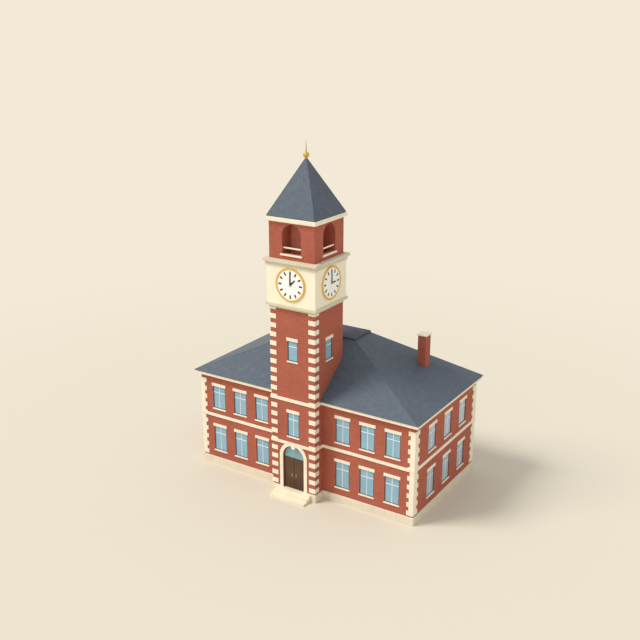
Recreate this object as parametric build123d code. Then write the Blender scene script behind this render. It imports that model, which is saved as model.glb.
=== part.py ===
"""Town hall: a brick block under a hipped slate roof, with a clock tower over its arched door.

Millimetres, +Z up. The model is drawn with y = 0 on the brick face of the front wall and
is moved as a whole when it is saved, so that its box is centred on the origin.
"""
import os
from build123d import *

# ---- main block
WIDTH = 22000
DEPTH = 12000
WALL = 400
WALL_TOP = 8860
FLOOR_TOPS = (600, 4650, 8860)
FLOOR_THICKNESS = 300
JOINT = 2                       # open mortar joint between stones that share a file

# ---- tower
TOWER_WIDTH = 4400
TOWER_PROJECTION = 1200         # how far the tower stands in front of the block
TOWER_WALL = 450
TOWER_TOP = 17100
TOWER_FLOOR_TOPS = (600, 4650, 8860, 11600, 17100)

# ---- plinth and string courses
PLINTH_HEIGHT = 700
PLINTH_PROUD = 120
PLINTH_BEVEL = 40
BELT_PROUD = 90
LOWER_BELT_BOTTOM = 4840
LOWER_BELT_HEIGHT = 275
UPPER_BELT_BOTTOM = 8885
UPPER_BELT_HEIGHT = 285

# ---- quoins: blocks and the brick between them repeat at a fixed pitch
QUOIN_BOTTOM = 830
QUOIN_PITCH = 800
QUOIN_PROUD = 50
QUOIN_BLOCK = 410
CORNER_FRONT_LONG = 590
CORNER_FRONT_SHORT = 385
CORNER_SIDE_LONG = 740
CORNER_SIDE_SHORT = 520
CORNER_QUOIN_TOP = 8440         # a strip of brick is left between the quoins and the cornice
TOWER_QUOIN_LEG = 590
TOWER_QUOIN_BLOCK = 415
TOWER_QUOIN_PITCH = 804
QUOIN_SHELF = 50                # the thinnest stone laid on a string course

# ---- windows
WINDOW_WIDTH = 1370
WINDOW_MARGIN = 2000            # window centre from a corner of the front, or from the tower
FRONT_WINDOW_COUNT = 3          # on each side of the tower
BACK_MIDDLE_WINDOW = 1800       # first window of the back wall from its middle
BACK_WINDOW_COUNT = 4           # in each half of the back wall
SIDE_WINDOW_MARGIN = 2980
SIDE_WINDOW_COUNT = 3
SIDE_WINDOW_SHIFT = 170        # the side windows stand this far behind the middle of their wall
GROUND_SILL = 1440
GROUND_HEAD = 3830
FIRST_SILL = 5670
FIRST_HEAD = 7860
TOWER_WINDOW_WIDTH = 1160
TOWER_UPPER_WIDTH = 980
TOWER_UPPER_SILL = 12600
TOWER_UPPER_HEAD = 14380
REVEAL = 35                     # brick face to window frame
FRAME_RIM = 60
FRAME_DEPTH = 60
GLASS = 12
LINTEL_BEARING = 90             # lintel past the opening at each end
TOWER_LINTEL_BEARING = 80
LINTEL_HEIGHT = 280
LINTEL_PROUD = 60
SILL_BEARING = 60
SILL_HEIGHT = 110
SILL_PROUD = 80

# ---- eaves and roof of the block
CORNICE_BOTTOM = WALL_TOP
CORNICE_HEIGHT = 330
CORNICE_PROUD = 380
CORNICE_BED = 45                # height of the small bed mould under the fascia
CORNICE_BED_PROUD = 140
EAVES = 450
ROOF_EDGE = 20
ROOF_RISE = 3990
ROOF_THICKNESS = 220
DECK_LENGTH = 5240
DECK_WIDTH = 2720
DECK_HEIGHT = 160
DECK_LAP = 70                   # deck past the top of the slopes

# ---- chimney
CHIMNEY_FROM_END = 3450         # middle of the stack from the right-hand wall
CHIMNEY_FROM_BACK = 3900
CHIMNEY_LENGTH = 760
CHIMNEY_WIDTH = 940
CHIMNEY_RISE = 4830             # from the attic floor to the cap
CHIMNEY_CAP_HEIGHT = 170
CHIMNEY_CAP_LAP = 100

# ---- doorway
DOOR_OPENING = 2160
DOOR_SPRING = 3700              # where the arch springs
TRANSOM_DROP = 100              # top of the transom under the spring of the arch
SURROUND_WIDTH = 330
SURROUND_PROUD = 70
KEYSTONE_BOTTOM = 4510
KEYSTONE_FOOT = 340
KEYSTONE_HEAD = 620
KEYSTONE_PROUD = 95
DOOR_RECESS = 100
DOOR_FRAME_RIM = 80
DOOR_FRAME_DEPTH = 80
LEAF_GAP = 14                   # round each leaf
LEAF_THICKNESS = 60
LEAF_GROOVES = 4
GROOVE_WIDTH = 16
GROOVE_DEPTH = 10
HANDLE_HEIGHT = 1950
HANDLE_LENGTH = 320
HANDLE_RADIUS = 18
HANDLE_OFFSET = 210             # handle from the meeting line
HANDLE_STAND_OFF = 60
PIN_RADIUS = 12
PIN_REACH = 55                  # pin above the lower knuckle
PIN_CLEARANCE = 0.4
KNUCKLE_RADIUS = 24
KNUCKLE_HEIGHT = 70
HINGE_PLATE = 6
HINGE_PLATE_WIDTH = 72
HINGE_GAP = 0.5
HINGE_HEIGHTS = (950, 2100, 3250)

# ---- steps
STEP_WIDTH = 3600
STEP_RISE = 200
STEP_TREAD = 430
STEP_COUNT = 3
LANDING = 320                   # top step in front of the tower face

# ---- clock stage
CLOCK_HALF = 2380
CLOCK_WALL = 450
CLOCK_FOOT = 200                # lower moulding under the clock stage
CLOCK_FOOT_PROUD = 80
CLOCK_LIP = 250
CLOCK_LIP_PROUD = 300
CLOCK_BODY_TOP = 20750
CAP_STEP = 300
CAP_STEP_PROUD = 270
CAP_LIP = 250
CAP_LIP_PROUD = 420
DIAL_RISE = 1750                # middle of each dial above the lower moulding
DIAL_RADIUS = 1255
DIAL_THICKNESS = 60
RIM_RADIUS = 1435
RIM_THICKNESS = 95
ARBOR_HOLE = 90
ARBOR_REACH = 120               # arbors behind the dial, in the bore of the wall
MARK_LENGTH = 290
MARK_WIDTH = 130
MARK_RADIUS = 1005              # middle of each hour mark
MARK_THICKNESS = 12
ARBOR_RADIUS = 30
PIPE_RADIUS = 50
ARBOR_CLEARANCE = 0.4
HAND_THICKNESS = 12
HOUR_HAND_LIFT = 20             # back of the hand above the dial
MINUTE_HAND_LIFT = 42
MINUTE_LENGTH = 1040
MINUTE_WIDTH = 130
HOUR_LENGTH = 640
HOUR_WIDTH = 150
HAND_TAIL = 90
HAND_HUB = 80
HAND_TIP = 0.62                 # width at the tip as a share of the width at the hub
FRONT_HOUR_ANGLE = 46           # clockwise from twelve, as the hands stand at rest
RIGHT_HOUR_ANGLE = 91

# ---- belfry
BELFRY_PIER = 1280
BELFRY_TOP = 24345
CROWN_GAP = 110                 # brick between the crown of each arch and the cornice
BELFRY_SILL_RISE = 475          # top of each sill above the foot of the belfry
BELFRY_SILL_HEIGHT = 140
BELFRY_SILL_PROUD = 110
BELFRY_SILL_BEARING = 140
BELFRY_SILL_SEAT = 80           # sill into the opening
BELFRY_WALL = 400
RECESS_WALL = 150
RAIL_RISE = 545                 # top of each rail above its sill
RAIL_HEIGHT = 125
RAIL_DEPTH = 60
RAIL_RECESS = 120
BELFRY_CORNICE_HEIGHT = 390
BELFRY_CORNICE_STEP = 60
BELFRY_CORNICE_STEP_PROUD = 110
BELFRY_CORNICE_PROUD = 210

# ---- tower roof and finial
SPIRE_HALF = 2330
SPIRE_EDGE = 50
SPIRE_APEX = 29310
SPIRE_THICKNESS = 300
SPIRE_HOLLOW_FLAT = 300         # the hollow stops this far under its own apex
SPIRE_CUT = 29200               # the point is cut flat here to carry the finial
FINIAL_COLLAR = 90
FINIAL_BALL = 250
FINIAL_NECK = 290               # from the cut point of the roof to the middle of the ball
FINIAL_STEM = 60
FINIAL_SPIKE = 1160             # from the middle of the ball to the tip
FINIAL_TIP = 12

# ---- values that follow from the sizes above
HALF_WIDTH = WIDTH / 2
HALF_TOWER = TOWER_WIDTH / 2
TOWER_FACE = -TOWER_PROJECTION
TOWER_MIDDLE = TOWER_FACE + HALF_TOWER
TOWER_BACK = TOWER_FACE + TOWER_WIDTH
HALF_DOOR = DOOR_OPENING / 2
DOOR_HEAD = DOOR_SPRING - TRANSOM_DROP
STEP_REACH = TOWER_PROJECTION + LANDING + (STEP_COUNT - 1) * STEP_TREAD
LANDING_TOP = STEP_RISE * STEP_COUNT
CORNICE_TOP = CORNICE_BOTTOM + CORNICE_HEIGHT
DECK_BOTTOM = CORNICE_TOP + ROOF_EDGE + ROOF_RISE
CLOCK_BOTTOM = TOWER_TOP + CLOCK_FOOT + CLOCK_LIP
DIAL_CENTRE = CLOCK_BOTTOM + DIAL_RISE
BELFRY_BOTTOM = CLOCK_BODY_TOP + CAP_STEP + CAP_LIP
BELFRY_SILL_TOP = BELFRY_BOTTOM + BELFRY_SILL_RISE
RAIL_TOP = BELFRY_SILL_TOP + RAIL_RISE
BELFRY_OPENING = TOWER_WIDTH - 2 * BELFRY_PIER
BELFRY_SPRING = BELFRY_TOP - BELFRY_OPENING / 2 - CROWN_GAP
SPIRE_BOTTOM = BELFRY_TOP + BELFRY_CORNICE_HEIGHT
CHIMNEY_X = HALF_WIDTH - CHIMNEY_FROM_END
CHIMNEY_Y = DEPTH - CHIMNEY_FROM_BACK
CHIMNEY_TOP = FLOOR_TOPS[-1] + CHIMNEY_RISE
MODEL_SHIFT = (STEP_REACH - DEPTH - EAVES) / 2

# Each face has its own frame: x along the wall, y into it from the brick face, z up.
BLOCK_FACES = {
    "front": Pos(0, 0, 0),
    "right": Pos(HALF_WIDTH, DEPTH / 2, 0) * Rot(0, 0, 90),
    "back": Pos(0, DEPTH, 0) * Rot(0, 0, 180),
    "left": Pos(-HALF_WIDTH, DEPTH / 2, 0) * Rot(0, 0, -90),
}


def tower_face(side, half=HALF_TOWER):
    """Frame of one side of a square stage of the tower, half as wide as given."""
    turn = {"front": 0, "right": 90, "back": 180, "left": -90}[side]
    return Pos(0, TOWER_MIDDLE, 0) * Rot(0, 0, turn) * Pos(0, -half, 0)


SIDES = ("front", "right", "back", "left")


# ---- small helpers
def slab(x0, x1, y0, y1, z0, z1):
    """Upright block between two corners."""
    return Pos(x0, y0, z0) * Box(x1 - x0, y1 - y0, z1 - z0, align=(Align.MIN,) * 3)


def run(profile, start, end, start_mitre=0, end_mitre=0):
    """Length of moulding along x. The profile is (proud, height); a mitre of 1 turns a corner."""
    near = [(start - start_mitre * proud, -proud, height) for proud, height in profile]
    far = [(end + end_mitre * proud, -proud, height) for proud, height in profile]
    sides = [(near[i - 1], near[i], far[i], far[i - 1]) for i in range(len(profile))]
    outlines = [Wire.make_polygon(points, close=True) for points in [near, far] + sides]
    return Solid(Shell([Face(outline) for outline in outlines]))


def square_ring(profile, half):
    """Four mitred runs round a square stage of the tower, with open joints at the corners."""
    reach = half - JOINT
    return [tower_face(side, half) * run(profile, -reach, reach, 1, 1) for side in SIDES]


def save(name, pieces):
    """Write one node in the model's own frame."""
    placed = [Pos(0, MODEL_SHIFT, 0) * piece for piece in pieces]
    solids = [solid for piece in placed for solid in piece.solids()]
    shape = solids[0] if len(solids) == 1 else Compound(children=solids)
    export_step(shape, os.path.join("parts", name + ".step"))


# ---- windows
def spaced(first, last, count):
    """Evenly spaced centres from the first to the last."""
    return [first + (last - first) * index / (count - 1) for index in range(count)]


def window_list():
    """Every window as (face, its frame, centre, width, sill, head, lintel bearing)."""
    rows = ((GROUND_SILL, GROUND_HEAD), (FIRST_SILL, FIRST_HEAD))
    last = HALF_WIDTH - WINDOW_MARGIN
    side_last = DEPTH / 2 - SIDE_WINDOW_MARGIN
    front = spaced(HALF_TOWER + WINDOW_MARGIN, last, FRONT_WINDOW_COUNT)
    back = spaced(BACK_MIDDLE_WINDOW, last, BACK_WINDOW_COUNT)
    end = spaced(-side_last, side_last, SIDE_WINDOW_COUNT)
    # x runs towards the back along the right-hand face, and towards the front along the left-hand one
    places = {
        "front": [-x for x in front] + front,
        "back": [-x for x in back] + back,
        "left": [x - SIDE_WINDOW_SHIFT for x in end],
        "right": [x + SIDE_WINDOW_SHIFT for x in end],
    }
    windows = []
    for face, centres in places.items():
        for x in centres:
            for sill, head in rows:
                windows.append((face, BLOCK_FACES[face], x, WINDOW_WIDTH, sill, head, LINTEL_BEARING))
    return windows


def tower_window_list():
    """The window over the door, and one on each side of the tower above the roof."""
    front = tower_face("front")
    windows = [("front", front, 0, TOWER_WINDOW_WIDTH, FIRST_SILL, FIRST_HEAD, TOWER_LINTEL_BEARING)]
    for side in SIDES:
        windows.append((side, tower_face(side), 0, TOWER_UPPER_WIDTH,
                        TOWER_UPPER_SILL, TOWER_UPPER_HEAD, TOWER_LINTEL_BEARING))
    return windows


def window_hole(window, wall):
    """What a window cuts out of its wall, down to the bed of its sill."""
    x, width, sill, head = window[2:6]
    return slab(x - width / 2, x + width / 2, -1, wall + 1, sill - SILL_HEIGHT, head)


def window_frame(window):
    """Rim of the window, set back in the opening."""
    frame, x, width, sill, head = window[1:6]
    half = width / 2
    rim = slab(x - half, x + half, REVEAL, REVEAL + FRAME_DEPTH, sill, head)
    light = slab(x - half + FRAME_RIM, x + half - FRAME_RIM, 0, 2 * REVEAL + FRAME_DEPTH,
                 sill + FRAME_RIM, head - FRAME_RIM)
    return frame * (rim - light)


def window_pane(window):
    """Sheet of glass inside the rim."""
    frame, x, width, sill, head = window[1:6]
    half = width / 2 - FRAME_RIM
    front = REVEAL + (FRAME_DEPTH - GLASS) / 2
    return frame * slab(x - half, x + half, front, front + GLASS, sill + FRAME_RIM, head - FRAME_RIM)


def window_dressing(window):
    """Stone lintel on the brick face, and a sill that runs back to the rim."""
    frame, x, width, sill, head, bearing = window[1:7]
    lintel = slab(x - width / 2 - bearing, x + width / 2 + bearing, -LINTEL_PROUD, 0,
                  head, head + LINTEL_HEIGHT)
    reach = width / 2 + SILL_BEARING
    nose = slab(x - reach, x + reach, -SILL_PROUD, 0, sill - SILL_HEIGHT, sill)
    seat = slab(x - width / 2, x + width / 2, 0, REVEAL + FRAME_DEPTH, sill - SILL_HEIGHT, sill)
    return [frame * lintel, frame * (nose + seat)]


# ---- walls of the block
def block_wall(face, start, end):
    """Brick wall along one face, with its windows cut through."""
    wall = slab(start, end, 0, WALL, 0, WALL_TOP)
    for window in window_list():
        if window[0] == face and start < window[2] < end:
            wall -= window_hole(window, WALL)
    return BLOCK_FACES[face] * wall


def block_floors():
    """Floors between the walls, with a bay left for the tower."""
    floors = []
    for top in FLOOR_TOPS:
        floor = slab(-HALF_WIDTH + WALL, HALF_WIDTH - WALL, WALL, DEPTH - WALL,
                     top - FLOOR_THICKNESS, top)
        floors.append(floor - slab(-HALF_TOWER, HALF_TOWER, 0, TOWER_BACK, 0, WALL_TOP + 1))
    return floors


# ---- walls of the tower
def doorway():
    """Arched doorway cut through the front of the tower, in that face's frame."""
    arch = Pos(0, TOWER_WALL / 2, DOOR_SPRING) * Rot(90, 0, 0) * Cylinder(HALF_DOOR, TOWER_WALL + 2)
    return arch + slab(-HALF_DOOR, HALF_DOOR, -1, TOWER_WALL + 1, 0, DOOR_SPRING)


def tower_piers():
    """Brick piers either side of the front doorway and of the way through to the hall."""
    pier = slab(HALF_DOOR, HALF_TOWER, 0, TOWER_WALL, 0, DOOR_SPRING)
    twin = pier + mirror(pier, Plane.YZ)
    return [tower_face(side) * twin for side in ("front", "back")]


def tower_wall(side):
    """Wall of the tower: the front and back ones start over their doorways."""
    across = side in ("front", "back")
    half = HALF_TOWER if across else HALF_TOWER - TOWER_WALL
    wall = slab(-half, half, 0, TOWER_WALL, DOOR_SPRING if across else 0, TOWER_TOP)
    for window in tower_window_list():
        if window[0] == side:
            wall -= window_hole(window, TOWER_WALL)
    if across:
        wall -= doorway()
    return tower_face(side) * wall


def tower_floors():
    """Floors in the tower, the floor of the belfry and the ceiling over it."""
    inner = HALF_TOWER - TOWER_WALL
    tops = TOWER_FLOOR_TOPS + (BELFRY_BOTTOM, BELFRY_TOP + FLOOR_THICKNESS)
    return [slab(-inner, inner, TOWER_MIDDLE - inner, TOWER_MIDDLE + inner, top - FLOOR_THICKNESS, top)
            for top in tops]


# ---- courses that run round the building
def front_runs(profile, tower_gap, corner_mitre=1):
    """Runs along the front from each outer corner to the side of the tower."""
    inner = HALF_TOWER + tower_gap
    corner = HALF_WIDTH - JOINT
    return [run(profile, -corner, -inner, corner_mitre, 0), run(profile, inner, corner, 0, corner_mitre)]


def block_runs(profile, tower_gap):
    """Runs round the whole block, interrupted by the tower."""
    side_reach = DEPTH / 2 - JOINT
    back_reach = HALF_WIDTH - JOINT
    runs = front_runs(profile, tower_gap)
    runs += [BLOCK_FACES[face] * run(profile, -side_reach, side_reach, 1, 1) for face in ("left", "right")]
    runs.append(BLOCK_FACES["back"] * run(profile, -back_reach, back_reach, 1, 1))
    return runs


def tower_returns(profile, stop):
    """Runs along both sides of the tower, from its front corners back to y = stop."""
    length = stop - TOWER_FACE
    start = -HALF_TOWER + JOINT
    right = tower_face("right") * run(profile, start, -HALF_TOWER + length, 1, 0)
    left = tower_face("left") * run(profile, HALF_TOWER - length, -start, 0, 1)
    return [left, right]


def band(proud, bottom, height, bevel=0):
    """Profile of a flat course, with an optional bevel along its top edge."""
    top = bottom + height
    if bevel:
        return [(0, bottom), (proud, bottom), (proud, top - bevel), (proud - bevel, top), (0, top)]
    return [(0, bottom), (proud, bottom), (proud, top), (0, top)]


def plinth():
    """Stone plinth round the block and the tower, open at the door's surround."""
    profile = band(PLINTH_PROUD, 0, PLINTH_HEIGHT, PLINTH_BEVEL)
    runs = block_runs(profile, PLINTH_PROUD + JOINT)
    runs += tower_returns(profile, 0)
    edge = HALF_DOOR + SURROUND_WIDTH
    corner = HALF_TOWER - JOINT
    runs += [tower_face("front") * run(profile, edge, corner, 0, 1),
             tower_face("front") * run(profile, -corner, -edge, 1, 0)]
    return runs


def string_courses():
    """Lower course round everything, and the upper one round the front of the tower."""
    lower = band(BELT_PROUD, LOWER_BELT_BOTTOM, LOWER_BELT_HEIGHT)
    upper = band(BELT_PROUD, UPPER_BELT_BOTTOM, UPPER_BELT_HEIGHT)
    corner = HALF_TOWER - JOINT
    runs = block_runs(lower, BELT_PROUD + JOINT) + tower_returns(lower, 0)
    over_door = run(lower, -corner, corner, 1, 1) - surround_outline(KEYSTONE_PROUD, 1)
    runs.append(tower_face("front") * over_door)
    runs.append(tower_face("front") * run(upper, -corner, corner, 1, 1))
    return runs + tower_returns(upper, -EAVES - JOINT)


def eaves_cornice():
    """Bed mould and fascia on top of the walls, round the block."""
    profile = [(-WALL, CORNICE_BOTTOM), (CORNICE_BED_PROUD, CORNICE_BOTTOM),
               (CORNICE_BED_PROUD, CORNICE_BOTTOM + CORNICE_BED),
               (CORNICE_PROUD, CORNICE_BOTTOM + CORNICE_BED),
               (CORNICE_PROUD, CORNICE_TOP), (-WALL, CORNICE_TOP)]
    return block_runs(profile, 0)


# ---- quoins
def corner_block(front_leg, side_leg, bottom, top):
    """Angle-shaped facing block on an outer corner at the origin, legs towards -x and +y."""
    front = slab(-front_leg, QUOIN_PROUD, -QUOIN_PROUD, 0, bottom, top)
    return front + slab(0, QUOIN_PROUD, 0, side_leg, bottom, top)


def four_corners(block, half_x, front, back):
    """The same block on the four corners of a rectangle."""
    right_front = Pos(half_x, front, 0) * block
    right_back = Pos(half_x, back, 0) * mirror(block, Plane.XZ)
    return [right_front, right_back, mirror(right_front, Plane.YZ), mirror(right_back, Plane.YZ)]


def toothed_stack(bottom, top):
    """Long and short blocks bonded into one strip."""
    stack = []
    level = QUOIN_BOTTOM
    while level < top:
        for front_leg, side_leg, foot, head in (
                (CORNER_FRONT_LONG, CORNER_SIDE_LONG, level, level + QUOIN_BLOCK),
                (CORNER_FRONT_SHORT, CORNER_SIDE_SHORT, level + QUOIN_BLOCK, level + QUOIN_PITCH)):
            low = max(foot, bottom)
            high = min(head, top)
            if high > low:
                stack.append(corner_block(front_leg, side_leg, low, high))
        level += QUOIN_PITCH
    return stack[0].fuse(*stack[1:]).clean()


def corner_quoins():
    """Toothed strips on the block's corners, under and over the string course."""
    lower = toothed_stack(QUOIN_BOTTOM, LOWER_BELT_BOTTOM)
    upper = toothed_stack(LOWER_BELT_BOTTOM + LOWER_BELT_HEIGHT, CORNER_QUOIN_TOP)
    return [piece for stack in (lower, upper) for piece in four_corners(stack, HALF_WIDTH, 0, DEPTH)]


def bed_over_belts(bottom, head):
    """Foot of a block: its own, or the top of a string course that takes the lower part of its height."""
    belts = ((LOWER_BELT_BOTTOM, LOWER_BELT_HEIGHT), (UPPER_BELT_BOTTOM, UPPER_BELT_HEIGHT))
    for foot, height in belts:
        if bottom < foot + height and head > foot:
            bottom = foot + height + JOINT
    return bottom


def tower_quoins():
    """Single blocks up the tower's front corners, thinner where they stand on a string course."""
    blocks = []
    level = QUOIN_BOTTOM
    while level < TOWER_TOP:
        head = min(level + TOWER_QUOIN_BLOCK, TOWER_TOP)
        foot = bed_over_belts(level, head)
        if head - foot > QUOIN_SHELF:
            right = Pos(HALF_TOWER, TOWER_FACE, 0) * corner_block(TOWER_QUOIN_LEG, TOWER_QUOIN_LEG, foot, head)
            blocks += [right, mirror(right, Plane.YZ)]
        level += TOWER_QUOIN_PITCH
    return blocks


# ---- roof of the block
def frustum(half_x, half_y, bottom, top_half_x, top_half_y, top):
    """Solid between a rectangle and a smaller one above it."""
    foot = Pos(0, 0, bottom) * Rectangle(2 * half_x, 2 * half_y)
    head = Pos(0, 0, top) * Rectangle(2 * top_half_x, 2 * top_half_y)
    return loft([foot, head], ruled=True)


def roof_slope(side):
    """One slate slope. Its ends follow the hip lines, drawn back by half a joint."""
    half_length, half_depth = HALF_WIDTH, DEPTH / 2
    top_length, top_depth = DECK_LENGTH / 2 - DECK_LAP, DECK_WIDTH / 2 - DECK_LAP
    if side in ("left", "right"):
        half_length, half_depth = half_depth, half_length
        top_length, top_depth = top_depth, top_length
    going = half_depth + EAVES - top_depth
    mitre = (half_length + EAVES - top_length) / going
    end = half_length + EAVES - mitre * EAVES - JOINT
    edge = CORNICE_TOP + ROOF_EDGE
    inner_foot = EAVES - (ROOF_THICKNESS - ROOF_EDGE) * going / ROOF_RISE
    top = top_depth - half_depth
    profile = [(EAVES, CORNICE_TOP), (EAVES, edge), (top, DECK_BOTTOM),
               (top, DECK_BOTTOM - ROOF_THICKNESS), (inner_foot, CORNICE_TOP)]
    return BLOCK_FACES[side] * run(profile, -end, end, mitre, mitre)


def hip_roof():
    """Four slopes: the front one is notched round the tower, the right one lets the chimney through."""
    tower = slab(-HALF_TOWER, HALF_TOWER, TOWER_FACE, TOWER_BACK, 0, TOWER_TOP)
    return [roof_slope("front") - tower, roof_slope("right") - chimney_stack(),
            roof_slope("back"), roof_slope("left")]


def roof_deck():
    """Flat capping over the top of the slopes."""
    half_x = DECK_LENGTH / 2
    half_y = DECK_WIDTH / 2
    return slab(-half_x, half_x, DEPTH / 2 - half_y, DEPTH / 2 + half_y, DECK_BOTTOM, DECK_BOTTOM + DECK_HEIGHT)


# ---- chimney
def chimney_stack():
    """Brick stack that stands on the attic floor and passes through the end slope."""
    half_x = CHIMNEY_LENGTH / 2
    half_y = CHIMNEY_WIDTH / 2
    return slab(CHIMNEY_X - half_x, CHIMNEY_X + half_x, CHIMNEY_Y - half_y, CHIMNEY_Y + half_y,
                FLOOR_TOPS[-1], CHIMNEY_TOP)


def chimney_cap():
    """Stone cap, weathered on top."""
    half_x = CHIMNEY_LENGTH / 2 + CHIMNEY_CAP_LAP
    half_y = CHIMNEY_WIDTH / 2 + CHIMNEY_CAP_LAP
    rise = CHIMNEY_CAP_HEIGHT / 2
    lower = slab(-half_x, half_x, -half_y, half_y, 0, rise)
    upper = frustum(half_x, half_y, rise, half_x - CHIMNEY_CAP_LAP, half_y - CHIMNEY_CAP_LAP, 2 * rise)
    return Pos(CHIMNEY_X, CHIMNEY_Y, CHIMNEY_TOP) * (lower + upper)


# ---- door surround, frame and leaves, drawn in the frame of the tower's front face
def arch_slab(radius, bottom, front, back):
    """Flat-sided block with a round head that springs at the doorway's spring line."""
    body = slab(-radius, radius, front, back, bottom, DOOR_SPRING)
    depth = back - front
    head = Pos(0, (front + back) / 2, DOOR_SPRING) * Rot(90, 0, 0) * Cylinder(radius, depth)
    return body + head


def keystone(proud, growth=0):
    """Tapered keystone that hangs a little below the arch."""
    top = LOWER_BELT_BOTTOM + LOWER_BELT_HEIGHT
    foot = KEYSTONE_FOOT / 2 + growth
    head = KEYSTONE_HEAD / 2 + growth
    points = [(-foot, 0, KEYSTONE_BOTTOM - growth), (foot, 0, KEYSTONE_BOTTOM - growth),
              (head, 0, top), (-head, 0, top)]
    return extrude(Face(Wire.make_polygon(points, close=True)), amount=proud, dir=(0, -1, 0))


def surround_outline(proud, growth=0):
    """Space that the surround and its keystone take in the string course above the door."""
    outline = arch_slab(HALF_DOOR + SURROUND_WIDTH + growth, LANDING_TOP, -proud, 0)
    return outline + keystone(proud, growth)


def door_surround():
    """Stone jambs and arch with a keystone, on the brick face."""
    ring = arch_slab(HALF_DOOR + SURROUND_WIDTH, LANDING_TOP, -SURROUND_PROUD, 0)
    ring -= arch_slab(HALF_DOOR, LANDING_TOP - 1, -SURROUND_PROUD - 1, 1)
    return tower_face("front") * (ring + keystone(KEYSTONE_PROUD))


def hinge_axis():
    """Hinge pin of the right-hand leaf: distance from the middle, and depth from the face."""
    return HALF_DOOR - DOOR_FRAME_RIM - LEAF_GAP / 2, DOOR_RECESS + DOOR_FRAME_DEPTH + KNUCKLE_RADIUS + HINGE_GAP


def door_hinges():
    """Lower half of each hinge: plate on the frame, knuckle and the pin that stands in it."""
    x, y = hinge_axis()
    face = DOOR_RECESS + DOOR_FRAME_DEPTH
    hinges = []
    for height in HINGE_HEIGHTS:
        knuckle = Pos(x, y, height - KNUCKLE_HEIGHT) * Cylinder(
            KNUCKLE_RADIUS, KNUCKLE_HEIGHT, align=(Align.CENTER, Align.CENTER, Align.MIN))
        pin = Pos(x, y, height - KNUCKLE_HEIGHT) * Cylinder(
            PIN_RADIUS, KNUCKLE_HEIGHT + PIN_REACH, align=(Align.CENTER, Align.CENTER, Align.MIN))
        plate = slab(x + LEAF_GAP / 2, x + HINGE_PLATE_WIDTH, face, face + HINGE_PLATE,
                     height - KNUCKLE_HEIGHT, height)
        web = slab(x, x + KNUCKLE_RADIUS, face, y, height - KNUCKLE_HEIGHT, height)
        web -= slab(x - 1, x + LEAF_GAP / 2, face - 1, face + HINGE_GAP, 0, height + 1)
        half = knuckle + pin + plate + web
        hinges += [tower_face("front") * half, tower_face("front") * mirror(half, Plane.YZ)]
    return hinges


def door_frame():
    """Timber posts, transom and arched head."""
    front = DOOR_RECESS
    back = DOOR_RECESS + DOOR_FRAME_DEPTH
    body = arch_slab(HALF_DOOR, LANDING_TOP, front, back)
    body -= arch_slab(HALF_DOOR - DOOR_FRAME_RIM, LANDING_TOP - 1, front - 1, back + 1)
    body += slab(-HALF_DOOR + 1, HALF_DOOR - 1, front, back, DOOR_HEAD - DOOR_FRAME_RIM, DOOR_HEAD)
    return tower_face("front") * body


def fanlight_glass():
    """Round-headed sheet of glass over the transom."""
    radius = HALF_DOOR - DOOR_FRAME_RIM
    middle = DOOR_RECESS + DOOR_FRAME_DEPTH / 2
    sheet = arch_slab(radius, DOOR_HEAD, middle - GLASS / 2, middle + GLASS / 2)
    upper = slab(-radius, radius, middle - GLASS, middle + GLASS, DOOR_HEAD, DOOR_SPRING + radius)
    return tower_face("front") * (sheet & upper)


def leaf_box():
    """Edges of the right-hand leaf: meeting side, hinge side, front, back, bottom and top."""
    hinge_edge = HALF_DOOR - DOOR_FRAME_RIM - LEAF_GAP
    back = DOOR_RECESS + DOOR_FRAME_DEPTH
    return (LEAF_GAP / 2, hinge_edge, back - LEAF_THICKNESS, back,
            LANDING_TOP + LEAF_GAP, DOOR_HEAD - DOOR_FRAME_RIM - LEAF_GAP)


def door_leaf():
    """Right-hand leaf of upright boards, grooved on its outer face."""
    inner, outer, front, back, bottom, top = leaf_box()
    leaf = slab(inner, outer, front, back, bottom, top)
    board = (outer - inner) / (LEAF_GROOVES + 1)
    for index in range(LEAF_GROOVES):
        x = inner + board * (index + 1)
        leaf -= slab(x - GROOVE_WIDTH / 2, x + GROOVE_WIDTH / 2, front - 1, front + GROOVE_DEPTH,
                     bottom - 1, top + 1)
    return leaf


def leaf_fittings():
    """Pull handle and the upper halves of the hinges of the right-hand leaf."""
    inner, outer, front, back, bottom, top = leaf_box()
    x, y = hinge_axis()
    pieces = []
    for height in HINGE_HEIGHTS:
        base = height + HINGE_GAP
        knuckle = Pos(x, y, base) * Cylinder(KNUCKLE_RADIUS, KNUCKLE_HEIGHT,
                                             align=(Align.CENTER, Align.CENTER, Align.MIN))
        plate = slab(x - HINGE_PLATE_WIDTH, outer, back, back + HINGE_PLATE, base, base + KNUCKLE_HEIGHT)
        web = slab(x - KNUCKLE_RADIUS, x, back, y, base, base + KNUCKLE_HEIGHT)
        web -= slab(outer, x + 1, back - 1, back + HINGE_GAP, 0, base + KNUCKLE_HEIGHT + 1)
        bore = Pos(x, y, base - 1) * Cylinder(PIN_RADIUS + PIN_CLEARANCE, PIN_REACH + 2,
                                              align=(Align.CENTER, Align.CENTER, Align.MIN))
        pieces.append(knuckle + plate + web - bore)
    handle_y = front - HANDLE_STAND_OFF
    bar = Pos(HANDLE_OFFSET, handle_y, HANDLE_HEIGHT) * Cylinder(HANDLE_RADIUS, HANDLE_LENGTH)
    for side in (-1, 1):
        foot = HANDLE_HEIGHT + side * (HANDLE_LENGTH / 2 - 2 * HANDLE_RADIUS)
        bar += Pos(HANDLE_OFFSET, (front + handle_y) / 2, foot) * Rot(90, 0, 0) * Cylinder(
            HANDLE_RADIUS / 2, HANDLE_STAND_OFF)
    return pieces + [bar]


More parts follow.
